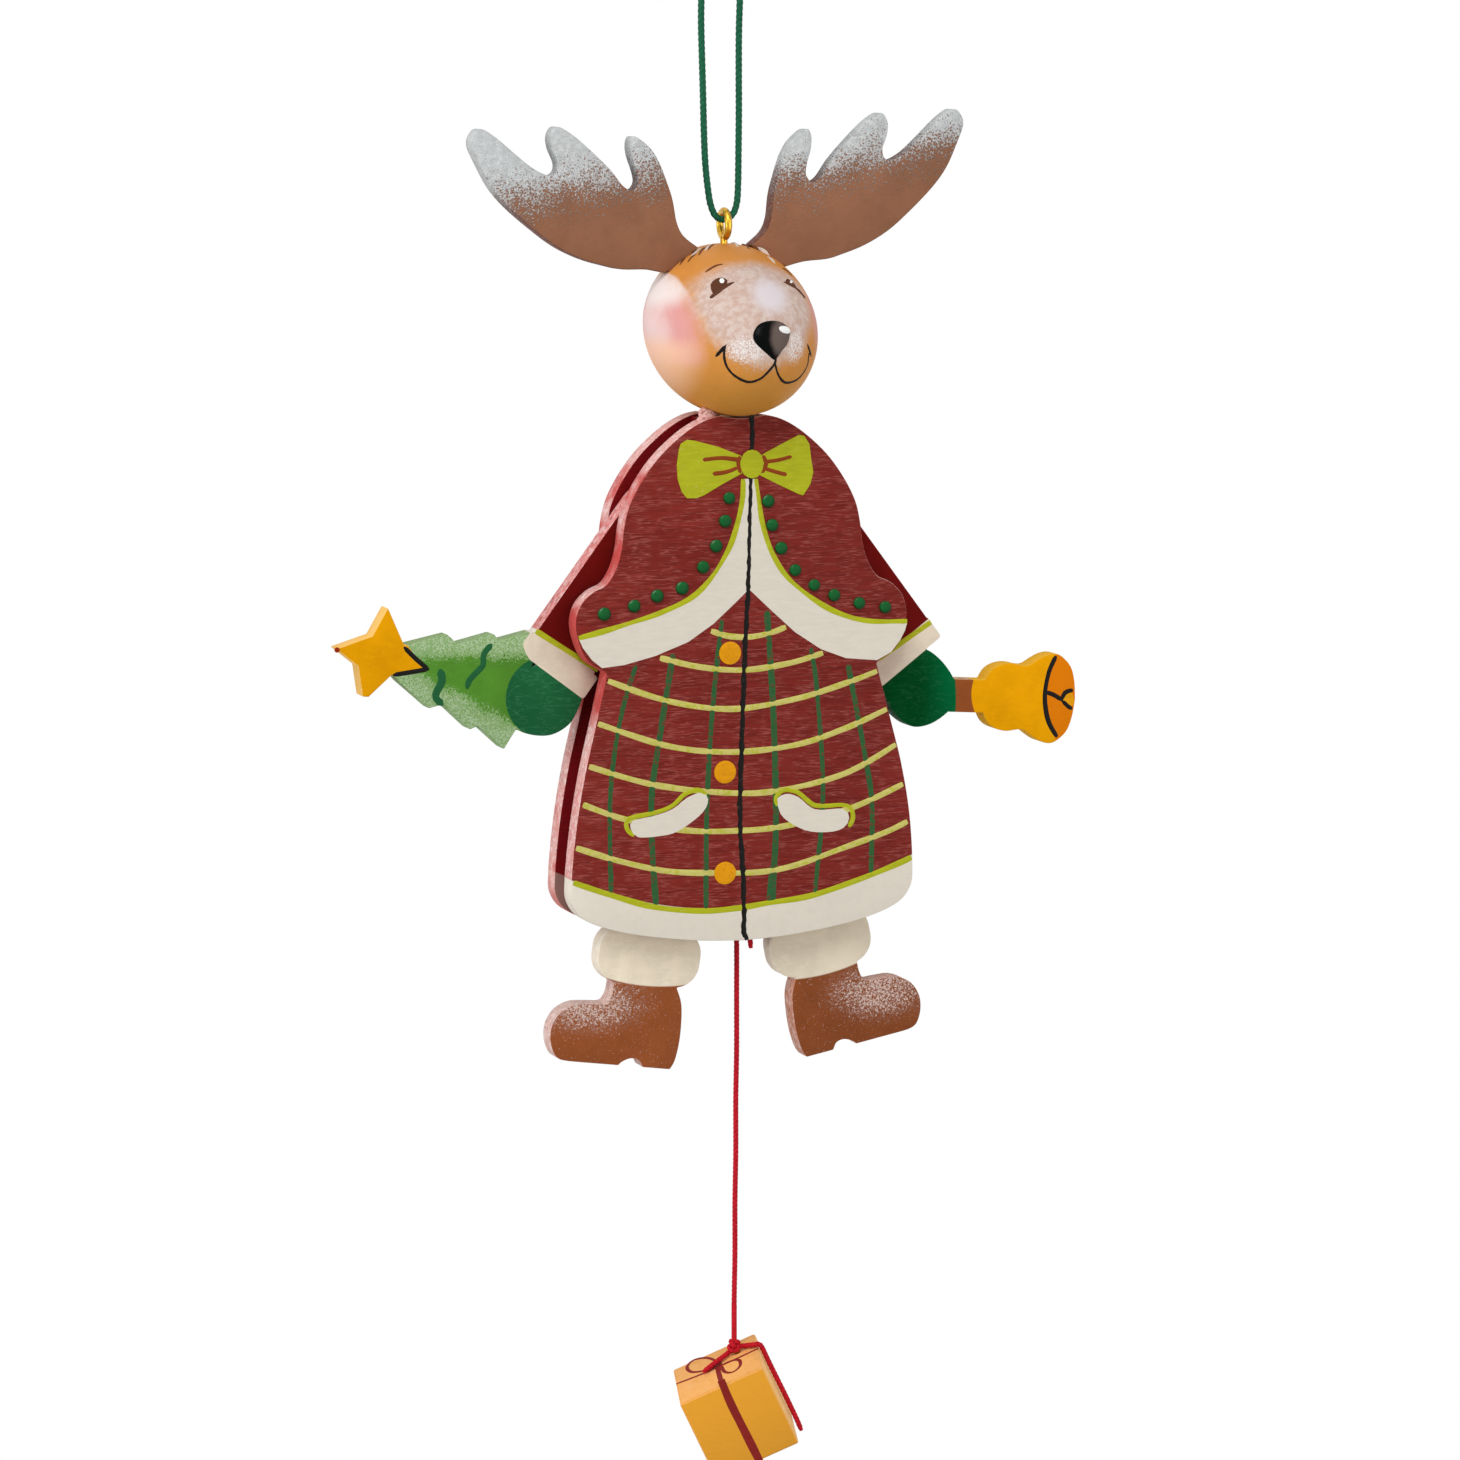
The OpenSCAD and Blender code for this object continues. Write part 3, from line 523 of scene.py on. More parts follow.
def settle(obj, name, body, finish, stands_for=(), smooth=40):
    """Names a finished piece, gives it its finish and hands it to its body."""
    pick(obj)
    bpy.ops.object.transform_apply(location=True, rotation=True, scale=True)
    obj.name = name
    obj.data.name = name
    obj.data.materials.clear()
    obj.data.materials.append(finish)
    if smooth:
        bpy.ops.object.shade_smooth_by_angle(angle=math.radians(smooth))
    if stands_for:
        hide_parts(*stands_for)
    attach(obj, body)
    return obj


def sanded_board(node, body, finish, rounding):
    """A board sawn to its node's outline, with its edges sanded round."""
    pick(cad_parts[node])
    bpy.ops.object.duplicate()
    obj = bpy.context.object
    edit_all()
    bpy.ops.mesh.customdata_custom_splitnormals_clear()
    bpy.ops.mesh.remove_doubles(threshold=WELD * MM)
    bpy.ops.mesh.dissolve_limited(angle_limit=math.radians(FLAT_ANGLE))
    leave_edit()
    bevel = obj.modifiers.new("sanding", "BEVEL")
    bevel.width, bevel.segments, bevel.use_clamp_overlap = rounding, 2, False
    bevel.limit_method, bevel.angle_limit = "ANGLE", math.radians(EDGE_ANGLE)
    bpy.ops.object.modifier_apply(modifier=bevel.name)
    settle(obj, node + "_board", body, finish, (node,))


def poly_line(data, points, closed):
    """The only spline of a curve, straight from point to point, in metres."""
    data.splines.clear()
    line = data.splines.new("POLY")
    line.points.add(len(points) - 1)
    for knot, p in zip(line.points, points):
        knot.co = (*p, 1)
    line.use_cyclic_u = closed
    return line


def curve_piece(points, radius, radii=None, closed=False, tilt=None, profile=None, sides=2):
    """A round or lobed rod along points in millimetres, as a mesh."""
    pick()
    bpy.ops.curve.primitive_bezier_curve_add()
    data = bpy.context.object.data
    line = poly_line(data, [Vector(p) * MM for p in points], closed)
    for i, knot in enumerate(line.points):
        knot.radius = radii[i] if radii else 1
        knot.tilt = tilt[i] if tilt else 0
    line.use_smooth = True
    data.dimensions = "3D"
    data.use_fill_caps = not closed
    if profile:
        data.bevel_mode = "OBJECT"
        data.bevel_object = profile
    else:
        data.bevel_depth = radius * MM
        data.bevel_resolution = sides
    bpy.ops.object.convert(target="MESH")
    return bpy.context.object


def brush_line(points, width, face, *rest, **more):
    """A brushed line along pixels of the photograph, lying on a board's face."""
    return brush_on_face([on_board(*q, face).xz for q in points], width, face, *rest, **more)


def brush_on_face(flat, width, face, height, seed=0, taper=STROKE_TAPER, board=None, sway=0.0):
    """A brushed line along places (x, z) on a face, ending at the edge of a board if that is named."""
    line = [p + Vector((sway * waver(i * 0.17, seed), 0)) for i, p in enumerate(smooth_points(flat, STROKE_STEP))]
    if board:
        wood = bpy.data.objects[board + "_board"]
        line = [p for p in line if all(
            wood.ray_cast(Vector((p.x + side * EDGE_MARGIN, face - 1, p.y)) * MM, (0, 1, 0), distance=1.5 * MM)[0]
            for side in (-1, 1))]
    radii = [1 + 0.1 * math.sin(i * 0.31 + seed) * math.sin(i * 0.083 + seed * 2.3) + 2.5 * sway * waver(i * 0.4, seed)
             for i in range(len(line))]
    radii[0] = radii[-1] = taper
    obj = curve_piece([(p.x, face, p.y) for p in line], width / 2, radii)
    edit_all()
    bpy.ops.transform.resize(value=(1, height / (width / 2), 1), center_override=(0, face * MM, 0))
    bpy.ops.mesh.bisect(plane_co=(0, (face + SLIVER) * MM, 0), plane_no=(0, 1, 0), clear_outer=True)
    leave_edit()
    return obj


def paint_patch(points, face, height, smooth=True):
    """A filled patch of paint within pixels of the photograph, lying on a board's face."""
    line = [on_board(*q, face).xz for q in points]
    if smooth:
        line = smooth_points(line, PATCH_STEP, closed=True)
    pick()
    bpy.ops.curve.primitive_bezier_circle_add(rotation=(math.pi / 2, 0, 0), location=(0, face * MM, 0))
    data = bpy.context.object.data
    poly_line(data, [(p.x * MM, p.y * MM, 0) for p in line], True)
    data.dimensions = "2D"
    data.fill_mode = "BOTH"
    data.extrude = data.bevel_depth = height * 0.5 * MM
    data.bevel_resolution = 1
    bpy.ops.object.convert(target="MESH")
    bpy.ops.object.transform_apply(location=True, rotation=True, scale=True)
    return bpy.context.object


def paint_drop(px, py, face, diameter, height):
    """A round drop of thick paint on a board's face."""
    at = on_board(px, py, face)
    pick()
    bpy.ops.mesh.primitive_circle_add(vertices=DROP_SIDES, radius=diameter / 2 * MM, fill_type="NGON",
                                      location=at * MM, rotation=(math.pi / 2, 0, 0))
    obj = bpy.context.object
    bpy.ops.object.transform_apply(location=True, rotation=True, scale=True)
    edit_all()
    for grow, rise in DROP_RINGS:
        bpy.ops.mesh.extrude_region_move(TRANSFORM_OT_translate={"value": (0, -rise * height * MM, 0)})
        bpy.ops.transform.resize(value=(grow, 1, grow), center_override=at * MM)
    bpy.ops.mesh.select_all(action="SELECT")
    bpy.ops.mesh.normals_make_consistent(inside=False)
    leave_edit()
    return obj


def ink_on_head(points, width, seed, taper):
    """An inked line along pixels of the photograph, half sunk in the head."""
    line = smooth_points(points, INK_STEP)
    radius = width / 2 / 0.8
    ends = len(line) - 1
    radii = [taper + (1 - taper) * min(1, 3.2 * min(i, ends - i) / ends + 0.1) + 0.12 * waver(i, seed)
             for i in range(len(line))]
    return curve_piece([on_head(p.x, p.y, -0.6 * radius) for p in line], radius, radii)


def patch_on_head(outline, lift, base=-0.02):
    """A patch of paint on the head inside an outline of pixels, swelling by lift above its base."""
    line = smooth_points(outline, HEAD_PATCH_STEP, closed=True)
    mid = sum(line, Vector((0, 0))) / len(line)
    count = len(line)
    pick()
    bpy.ops.mesh.primitive_circle_add(vertices=count, radius=1, fill_type="NGON")
    obj = bpy.context.object
    edit_all()
    for a, b in zip(HEAD_PATCH_RINGS, HEAD_PATCH_RINGS[1:]):
        bpy.ops.mesh.extrude_region_move(TRANSFORM_OT_translate={"value": (0, 0, MM)})
        bpy.ops.transform.resize(value=(b / a, b / a, 1), center_override=(0, 0, 0))
    bpy.ops.mesh.poke()
    leave_edit()
    for v in obj.data.vertices:
        share = math.hypot(v.co.x, v.co.y)
        i = round(math.atan2(v.co.y, v.co.x) / math.tau * count) % count
        p = mid + (line[i] - mid) * share
        v.co = on_head(p.x, p.y, base + lift * math.sqrt(max(0, 1 - share ** 2))) * MM
    edit_all()
    bpy.ops.mesh.normals_make_consistent(inside=False)
    leave_edit()
    eye = view_axes()[0] * MM
    face = obj.data.polygons[0]
    if face.normal.dot(eye - face.center) < 0:
        edit_all()
        bpy.ops.mesh.flip_normals()
        leave_edit()
    return obj


def strand_profile(radius, depth):
    """Cross-section of a cord laid up from strands, with a radius in millimetres."""
    pick()
    bpy.ops.curve.primitive_bezier_circle_add()
    obj = bpy.context.object
    count = STRANDS * 6
    ring = []
    for i in range(count):
        a = i / count * math.tau
        r = radius * (1 - depth + depth * abs(math.cos(STRANDS * a / 2)))
        ring.append((r * math.cos(a) * MM, r * math.sin(a) * MM, 0))
    poly_line(obj.data, ring, True)
    return obj


def laid_cord(route, diameter, depth=RED_LAY_DEPTH, closed=False, worn=False):
    """A cord of laid strands along a route in millimetres; returns it, its centreline and its length in metres."""
    lay = sizes().lay / MM * diameter / LAY_CORD
    line = smooth_points(route, lay / 9, closed)
    run = [0.0]
    for a, b in zip(line, line[1:]):
        run.append(run[-1] + (b - a).length)
    profile = strand_profile(diameter / 2, depth)
    last = len(line) - 1
    radii = [min(1.0, 0.72 + 0.1 * (last - i)) if worn else 1 for i in range(last + 1)]
    obj = curve_piece(line, diameter / 2, radii, closed, [s / lay * math.tau for s in run], profile)
    pick(profile)
    bpy.ops.object.delete()
    return obj, [p * MM for p in line], run[-1] * MM


def tied_knot(at, spread, diameter, turn, flat=1.0):
    """An overhand knot pulled tight round a point, in millimetres."""
    tilt = Euler([math.radians(a) for a in turn]).to_matrix()
    route = []
    for i in range(KNOT_POINTS):
        t = i / KNOT_POINTS * math.tau
        r = (2 + math.cos(3 * t)) / 3
        p = Vector((r * math.cos(2 * t), r * math.sin(2 * t), math.sin(3 * t) * 0.5 * flat)) * spread
        route.append(Vector(at) + tilt @ p)
    return laid_cord(route, diameter, KNOT_LAY_DEPTH, closed=True)[0]


# Finishes

class Sock:
    """A shader value that takes part in sums."""

    def __init__(self, finish, socket):
        self.finish = finish
        self.socket = socket

    def math(self, operation, *values):
        return self.finish.node("ShaderNodeMath", {"operation": operation}, [self, *values])

    def __add__(self, other):
        return self.math("ADD", other)

    def __sub__(self, other):
        return self.math("SUBTRACT", other)

    def __mul__(self, other):
        return self.math("MULTIPLY", other)

    def __rsub__(self, other):
        return self.finish.node("ShaderNodeMath", {"operation": "SUBTRACT"}, [other, self])

    __radd__ = __add__
    __rmul__ = __mul__

    def __abs__(self):
        return self.math("ABSOLUTE")

    def both(self, other):
        return self.math("MINIMUM", other)

    def either(self, other):
        return self.math("MAXIMUM", other)

    def squared(self):
        return self * self


class Finish:
    """A finish made of nodes, with places in millimetres."""

    def __init__(self, name):
        self.material = bpy.data.materials.new(name)
        self.material.use_nodes = True
        self.tree = self.material.node_tree
        self.shader = self.tree.nodes["Principled BSDF"]
        where = self.tree.nodes.new("ShaderNodeTexCoord")
        self.place = self.node("ShaderNodeVectorMath", {"operation": "SCALE"},
                               {0: Sock(self, where.outputs["Object"]), 3: 1 / MM})
        self.x, self.y, self.z = self.parts(self.place)
        self.normal = Sock(self, where.outputs["Normal"])
        self.facing = abs(self.parts(self.normal)[1])

    def node(self, kind, settings=None, sockets=None, out=0):
        made = self.tree.nodes.new(kind)
        for key, value in (settings or {}).items():
            setattr(made, key, value)
        for key, value in (sockets.items() if isinstance(sockets, dict) else enumerate(sockets or [])):
            if isinstance(value, Sock):
                self.tree.links.new(value.socket, made.inputs[key])
            else:
                made.inputs[key].default_value = value
        return Sock(self, made.outputs[out])

    def parts(self, vector):
        split = self.node("ShaderNodeSeparateXYZ", None, [vector])
        return [Sock(self, o) for o in split.socket.node.outputs]

    def noise(self, scale, detail=3.0, stretch=(1, 1, 1), warp=0.0):
        where = self.node("ShaderNodeVectorMath", {"operation": "MULTIPLY"}, [self.place, stretch])
        return self.node("ShaderNodeTexNoise", None,
                         {"Vector": where, "Scale": scale, "Detail": detail, "Roughness": 0.6, "Distortion": warp})

    def step(self, value, low, high):
        """0 below low, 1 above high, and soft between; falls if low is the larger."""
        low_to, high_to = (0.0, 1.0) if low < high else (1.0, 0.0)
        return self.node("ShaderNodeMapRange", {"interpolation_type": "SMOOTHSTEP"},
                         [value, min(low, high), max(low, high), low_to, high_to])

    def ridge(self, value, width):
        """Thin lines where a value passes one half."""
        return self.step(abs(value - 0.5), width, 0.0)

    def mix(self, a, b, share):
        full = [c if isinstance(c, Sock) else (*c, 1) for c in (a, b)]
        return self.node("ShaderNodeMix", {"data_type": "RGBA"}, {0: share, 6: full[0], 7: full[1]}, 2)

    def glaze(self, base, tint, value, low, high, share=1.0):
        """A share of a tint over a base where a value passes from low to high."""
        return self.mix(base, tint, self.step(value, low, high) * share)

    def spot(self, centre, radii):
        """Distance from a centre in shares of the radii."""
        off = self.node("ShaderNodeVectorMath", {"operation": "SUBTRACT"}, [self.place, tuple(centre)])
        unit = self.node("ShaderNodeVectorMath", {"operation": "DIVIDE"}, [off, tuple(radii)])
        return self.node("ShaderNodeVectorMath", {"operation": "LENGTH"}, [unit], 1)

    def toward(self, direction):
        """1 where the surface faces a direction, falling to -1 where it faces away."""
        return self.node("ShaderNodeVectorMath", {"operation": "DOT_PRODUCT"}, [self.normal, tuple(direction)], 1)

    def along(self, origin, direction):
        """Distance in the board's plane from an origin (x, z) along a direction (x, z)."""
        return (self.x - origin[0]) * direction[0] + (self.z - origin[1]) * direction[1]

    def done(self, base, rough, bump=None, height=0.06, **fixed):
        links = {"Base Color": base, "Roughness": rough, "Specular IOR Level": PAINT_SHEEN}
        if bump is not None:
            links["Normal"] = self.node("ShaderNodeBump", None,
                                        {"Strength": 1.0, "Distance": height * MM, "Height": bump})
        for key, value in {**links, **fixed}.items():
            target = self.shader.inputs[key]
            if isinstance(value, Sock):
                self.tree.links.new(value.socket, target)
            else:
                target.default_value = value if not isinstance(value, tuple) else (*value, 1)
        return self.material


def shade(colour_value, share):
    """A colour made darker (below 1) or stronger (above 1)."""
    return tuple(min(1.0, c * share) for c in colour_value)


def pale(colour_value, share):
    """A colour mixed with a share of white."""
    return tuple(c + (1 - c) * share for c in colour_value)


def thin_paint(name, tint, under=None, cover=0.75, gloss=0.5, even=0.0, painted_dome_light=False):
    """Brushed paint, more or less even, with a little of what is under it; a domed drop gets painted shade on its low
    side and a painted highlight on its upper left side.
    """
    f = Finish(name)
    grain = f.noise(1.6, 4.0, (0.35, 1, 1.6))
    fine = f.noise(7.0, 2.0)
    base = f.glaze(shade(tint, 0.9 + 0.07 * even), shade(tint, 1.05 - 0.02 * even), grain, 0.3, 0.7)
    if under is not None:
        base = f.glaze(base, under, f.noise(2.3, 4.0), cover - 0.06, cover + 0.06, 0.7 - 0.4 * even)
    base = f.glaze(base, shade(tint, 0.75), fine, 0.6, 0.78, 0.25 - 0.2 * even)
    if painted_dome_light:
        # Painted shade on the low side of the drop and a painted highlight on its upper left side.
        lit = f.toward(Vector((-0.5, -0.62, 0.6)).normalized())
        base = f.glaze(shade(tint, 0.45), f.glaze(base, pale(tint, 0.12), lit, 0.9, 1.0), lit, 0.3, 0.8)
    return f.done(base, gloss + grain * 0.16, grain + fine * 0.5, 0.03 - 0.02 * even)


def coat_paint():
    """Red brushed paint, primer showing through on the sawn edges, cream along the hem; the edges carry painted light
    where they face up and painted shade where they face down and at shaded spots.
    """
    c = paints()
    f = Finish("coat_paint")
    weave = f.noise(1.0, 2.0, (0.24, 0.24, 3.2), 0.12)
    dash = f.ridge(weave, 0.06) * f.step(f.noise(0.45, 2.0, (1, 1, 1.5)), 0.34, 0.6)
    brush = f.noise(1.0, 4.0, (0.22, 0.22, 3.6), 0.15)
    red = f.glaze(shade(c.coat, 0.86), shade(c.coat, 1.05), f.noise(0.14, 2.0), 0.3, 0.7)
    red = f.glaze(red, shade(c.coat, 1.35), brush, 0.48, 0.68, 0.6)
    # Pale dashes are paint streaks with a painted highlight on the raised grain; the dark line beside each is painted
    # shade.
    red = f.mix(red, shade(c.coat, 0.58), f.ridge(weave + 0.1, 0.05) * 0.62)
    red = f.mix(red, COAT_STREAK_AND_HIGHLIGHT, dash * 0.72)
    # The inner faces between the boards: dark red, partly their paint and partly painted shade.
    inner = f.step(f.y, COAT_FACE + 2.5, COAT_FACE + 2.65).both(f.step(f.y, 4.35, 4.3))
    red = f.mix(red, c.coat_gap_shade, inner)
    # Painted light on the sawn edges: paler with painted highlights where they face up, redder as painted shade where
    # they face down and at the shaded spots.
    lit = f.parts(f.normal)[2] + (f.noise(0.5, 4.0) - 0.5) * 1.6
    for px, py, wide, tall in SHADED_EDGE_SPOTS:
        lit = lit - f.step(f.spot(on_board(px, py, COAT_FACE), (wide, 40, tall)), 1.5, 0.3) * 0.8
    edge = f.glaze(COAT_EDGE_SHADED, c.coat_edge, lit, -0.6, 0.4)
    edge = f.glaze(edge, pale(c.coat_edge, 0.55), f.noise(1.5, 4.0), 0.46, 0.68, f.step(lit, -0.4, 0.4) * 0.75)
    edge = f.glaze(edge, shade(c.coat, 1.1), f.noise(3.2, 3.0), 0.58, 0.68, 0.55)
    base = f.glaze(red, edge, f.facing, 0.86, 0.5)
    hem = f.step(f.z - f.x.squared() * HEM_BOW - f.x * HEM_SLANT, HEM_LEVEL + 2 * SOFT, HEM_LEVEL - SOFT)
    cream = f.glaze(c.cream, shade(c.cream, 0.96), f.noise(0.9, 4.0), 0.4, 0.75)
    base = f.mix(base, cream, hem * (1 - inner * 0.8))
    bump = (brush * 0.5 + dash * 0.5) * (1 - hem * 0.85) + f.noise(5.0, 2.0) * 0.2
    return f.done(base, 0.52 + brush * 0.2, bump)


def limb_base(f, tint, edge_tint, worn=1.0):
    """Brushed paint on a limb with a paler sawn edge, rubbed by worn."""
    face = f.glaze(shade(tint, 0.9), shade(tint, 1.01), f.noise(0.25, 2.0), 0.35, 0.65)
    face = f.glaze(face, shade(tint, 1.05), f.noise(2.2, 4.0, (0.5, 0.5, 1.3), 0.6), 0.5, 0.7, 0.6)
    edge = f.glaze(edge_tint, pale(edge_tint, 0.3), f.noise(1.3, 4.0), 0.42, 0.66, worn)
    edge = f.glaze(edge, shade(tint, 0.9), f.noise(2.2, 3.0), 0.56, 0.68, 0.7 * worn)
    return f.glaze(face, edge, f.facing, 0.84, 0.5)


def frosted(f, base, frost, mask, grain):
    """Dry-brushed specks of frost where the mask is strong."""
    return f.glaze(base, frost, f.noise(grain, 5.0) + mask * 0.5, 0.72, 0.8)


def tree_and_star(f, c):
    """Frosted tree with a gold star, and the distance from the mitten's middle in shares of its size."""
    held = limb_base(f, c.tree, TREE_EDGE)
    spread = abs(f.along(TREE_MIDDLE, TREE_ACROSS))
    ahead = f.along(TREE_FOOT, TREE_AHEAD)
    held = f.glaze(held, shade(c.tree, 0.72), f.x + spread * 0.8, -29.0, -24.5, 0.6)
    rime = f.step(spread + ahead * 0.24 + f.noise(0.5, 2.0) * 2.0, 2.9, 6.4)
    held = frosted(f, held, TREE_RIME, rime * 0.95, 3.6)
    held = frosted(f, held, TREE_FROST, rime * 0.52, 5.5)
    held = f.glaze(held, shade(c.tree, 0.55), f.noise(5.6, 4.0), 0.57, 0.66, rime * 0.75)
    held = f.glaze(held, TREE_SNOW, f.noise(7.5, 3.0), 0.62, 0.7, rime * 0.6)
    gold = limb_base(f, c.star, STAR_EDGE, 0.2)
    one, other = (f.step(f.along(*side), -SOFT, SOFT) for side in STAR_SIDES)
    x, z = STAR_ARM
    arms = f.step(f.z, z - SOFT, z + SOFT).both(f.step(f.x, x + 2 * SOFT, x - 2 * SOFT))
    points = f.step(f.x, STAR_BASE + 1.5 * SOFT, STAR_BASE - 1.5 * SOFT)
    held = f.mix(held, gold, one.both(other).either(arms).either(points))
    return held, f.spot(TREE_MITTEN, TREE_MITTEN_REACH)


def bell_and_handle(f, c):
    """Gold bell on a brown handle, and the distance from the mitten's middle in shares of its size."""
    gold = limb_base(f, shade(c.star, 1.1), BELL_EDGE, 0.0)
    x, z = BELL_MOUTH
    mouth = f.step(f.x - (f.z - z).squared() * BELL_MOUTH_BOW, x - 1.5 * SOFT, x + 1.5 * SOFT)
    gold = f.mix(gold, c.rust, mouth * f.step(f.facing, 0.5, 0.9))
    x, z = BELL_LOBE
    lobe = f.step(f.x - (f.z - z).squared() * BELL_LOBE_BOW, x - SOFT, x + SOFT)
    lobe = lobe.either(f.step(abs(f.z - HANDLE_MIDDLE), HANDLE_HALF - SOFT, HANDLE_HALF + SOFT))
    held = f.mix(limb_base(f, c.boot, HANDLE_EDGE), gold, lobe)
    x, z = BELL_MITTEN
    return held, (f.x + (f.z - z).squared() * BELL_MITTEN_BOW) * (1 / x)


def arm_paint(side):
    """Sleeve, cuff and mitten of one arm, with what the mitten holds."""
    c = paints()
    left = side < 0
    f = Finish("arm_paint_left" if left else "arm_paint_right")
    lean = math.radians(ARM_REST)
    pivot = (side * SHOULDER[0], SHOULDER[1])
    run = f.along(pivot, (side * math.sin(lean), -math.cos(lean)))
    rubbed = f.ridge(f.noise(0.8, 2.0, (0.5, 1, 1.9), 0.3), 0.03)
    cuff_share = 1.0
    if left:
        mitten = limb_base(f, c.mitten, MITTEN_EDGE, 0.4)
        # Darker toward the tip of the left mitten: painted shade.
        mitten = f.glaze(mitten, shade(c.mitten, 0.6), run + f.noise(0.5, 2.0) * 3, 23.5, 28.5, 0.25)
        mitten = f.mix(mitten, MITTEN_RUBBED, rubbed * 0.3)
        held, reach = tree_and_star(f, c)
        out = f.along(pivot, (side * math.cos(lean), math.sin(lean)))
        cuff_share = f.step(out + (run - 19.9).either(0.0).squared() * 1.05, 4.8, 4.7)
    else:
        mitten = limb_base(f, MITTEN_SHADED, MITTEN_EDGE, 0.4)
        mitten = f.glaze(mitten, MITTEN_LIT, f.x + f.noise(0.4, 2.0), 22.5, 28.0, 0.8)
        mitten = f.mix(mitten, MITTEN_RUBBED, rubbed * 0.1)
        held, reach = bell_and_handle(f, c)
    base = f.glaze(held, mitten, reach, 1.003, 0.997)
    cuff = limb_base(f, ARM_CUFF, pale(c.cream, 0.2))
    base = f.glaze(base, cuff, run, ARM_CUFF_END + SOFT, ARM_CUFF_END - SOFT, cuff_share)
    joint = SLEEVE_ENDS[0 if left else 1]
    base = f.glaze(base, limb_base(f, c.sleeve, SLEEVE_EDGE), run, joint + SOFT, joint - SOFT)
    streak = f.noise(1.5, 4.0, (0.5, 0.5, 1.2), 0.4)
    return f.done(base, 0.5 + streak * 0.2, streak, 0.05, **{"Specular IOR Level": 0.01})


def leg_paint(side):
    """Trouser, fur cuff and boot of one leg, with frost on the toe."""
    c = paints()
    left = side < 0
    which = 0 if left else 1
    f = Finish("leg_paint_left" if left else "leg_paint_right")
    lean = math.radians(LEG_RESTS[which])
    pivot = (side * HIP[0], HIP[1])
    down = (side * math.sin(lean), -math.cos(lean))
    run = f.along(pivot, down)
    across = f.along(pivot, (down[1], -down[0]))
    # The right boot, its edge tint and its fur cuff are darker copies: painted shade on the right leg.
    boot = limb_base(f, c.boot if left else shade(c.boot, 0.8), BOOT_EDGES[which])
    toe, reach = TOE_FROST[which]
    icy = f.step(f.spot(on_board(*toe, LIMB_FACE), reach), 1.3, 0.3)
    boot = f.glaze(boot, BOOT_RIME, f.noise(3.0, 4.0), 0.36, 0.6, icy * 0.7)
    boot = frosted(f, boot, BOOT_FROST, 0.16 + icy * 0.34, 6.0)
    fur = limb_base(f, c.fur if left else shade(c.fur, 0.9), pale(c.fur, 0.1))
    fur = f.glaze(fur, shade(c.fur, 0.85), f.noise(0.7, 4.0), 0.5, 0.75, 0.5)
    base = f.glaze(fur, boot, run + across.squared() * 0.022, FUR_END - 2 * SOFT, FUR_END + 2 * SOFT)
    # The trouser under the coat: the same dark red, partly painted shade.
    base = f.glaze(base, c.coat_gap_shade, run, TROUSER_END + 4 * SOFT, TROUSER_END - 4 * SOFT)
    streak = f.noise(1.8, 4.0)
    return f.done(base, 0.5 + streak * 0.25, streak)


def antler_paint(side):
    """Brown stain with snow dabbed on the tips."""
    c = paints()
    f = Finish("antler_paint_left" if side < 0 else "antler_paint_right")
    brown = limb_base(f, c.antler, ANTLER_EDGE, 0.25)
    slope, level = SNOW_LINES[0 if side < 0 else 1]
    rise = f.z - f.x * slope - level
    specks = f.noise(4.6, 3.0)
    cover = f.step(rise * 0.045 + f.noise(0.3, 2.0) * 0.25 + specks, 0.6, 0.74)
    white = f.glaze(shade(c.snow, 0.9), pale(c.snow, 0.12), f.noise(1.4, 5.0), 0.4, 0.66)
    base = f.mix(brown, white, cover * (0.55 + f.step(rise, -1.0, 3.5) * 0.45))
    return f.done(base, 0.55 + cover * 0.2, specks * cover + f.noise(2.6, 3.0) * 0.3, 0.12)


def head_spot(f, spot):
    """Distance from a place on the head in shares of its reach."""
    return f.spot(on_head(*spot[0]), spot[1])


def cheeks(f, base, blush, mottled):
    """Blush brushed on both cheeks, paler on the outer side of the left one with a painted highlight, and painted light
    on the lower left of the head.
    """
    top = on_head(*CHEEK_TOP)
    slant = (on_head(*CHEEK_LOW) - top).xz.normalized()
    (inner, outer), (foot, brim), (faint, full) = ([on_head(*q) for q in pair]
                                                   for pair in (CHEEK_INNER, CHEEK_FOOT, CHEEK_FADE))
    strokes = f.noise(0.9, 3.0, (2.2, 0.5, 0.35))
    under = f.step(f.along(top.xz, (slant.y, -slant.x)) + (strokes - 0.5) * 0.5, -0.1, 0.25)
    inward = f.step(f.x + strokes * 1.6, inner.x + 0.9, outer.x + 0.3)
    above = f.step(f.z + strokes * 1.2, foot.z, brim.z)
    cheek = f.glaze(CHEEK_PALE, blush, f.x + strokes, faint.x, full.x)
    # A painted highlight on the outer side of the left cheek.
    cheek = f.glaze(cheek, CHEEK_SHINE, f.along(on_head(*CHEEK_GLOW).xz, (-0.5, 0.866)), -0.4, 1.4, 0.9)
    base = f.mix(base, cheek, under * inward * above * f.step(f.y, 8.5, 4.5) * 0.95)
    base = f.glaze(base, blush, head_spot(f, CHEEK_RIGHT) + mottled * 0.4, 1.5, 0.6, 0.8)
    # Painted light on the lower left of the head.
    return f.glaze(base, JOWL_LIGHT, f.x, -5.5, -9.0, f.step(f.z, -44.5, -47.0) * 0.85)


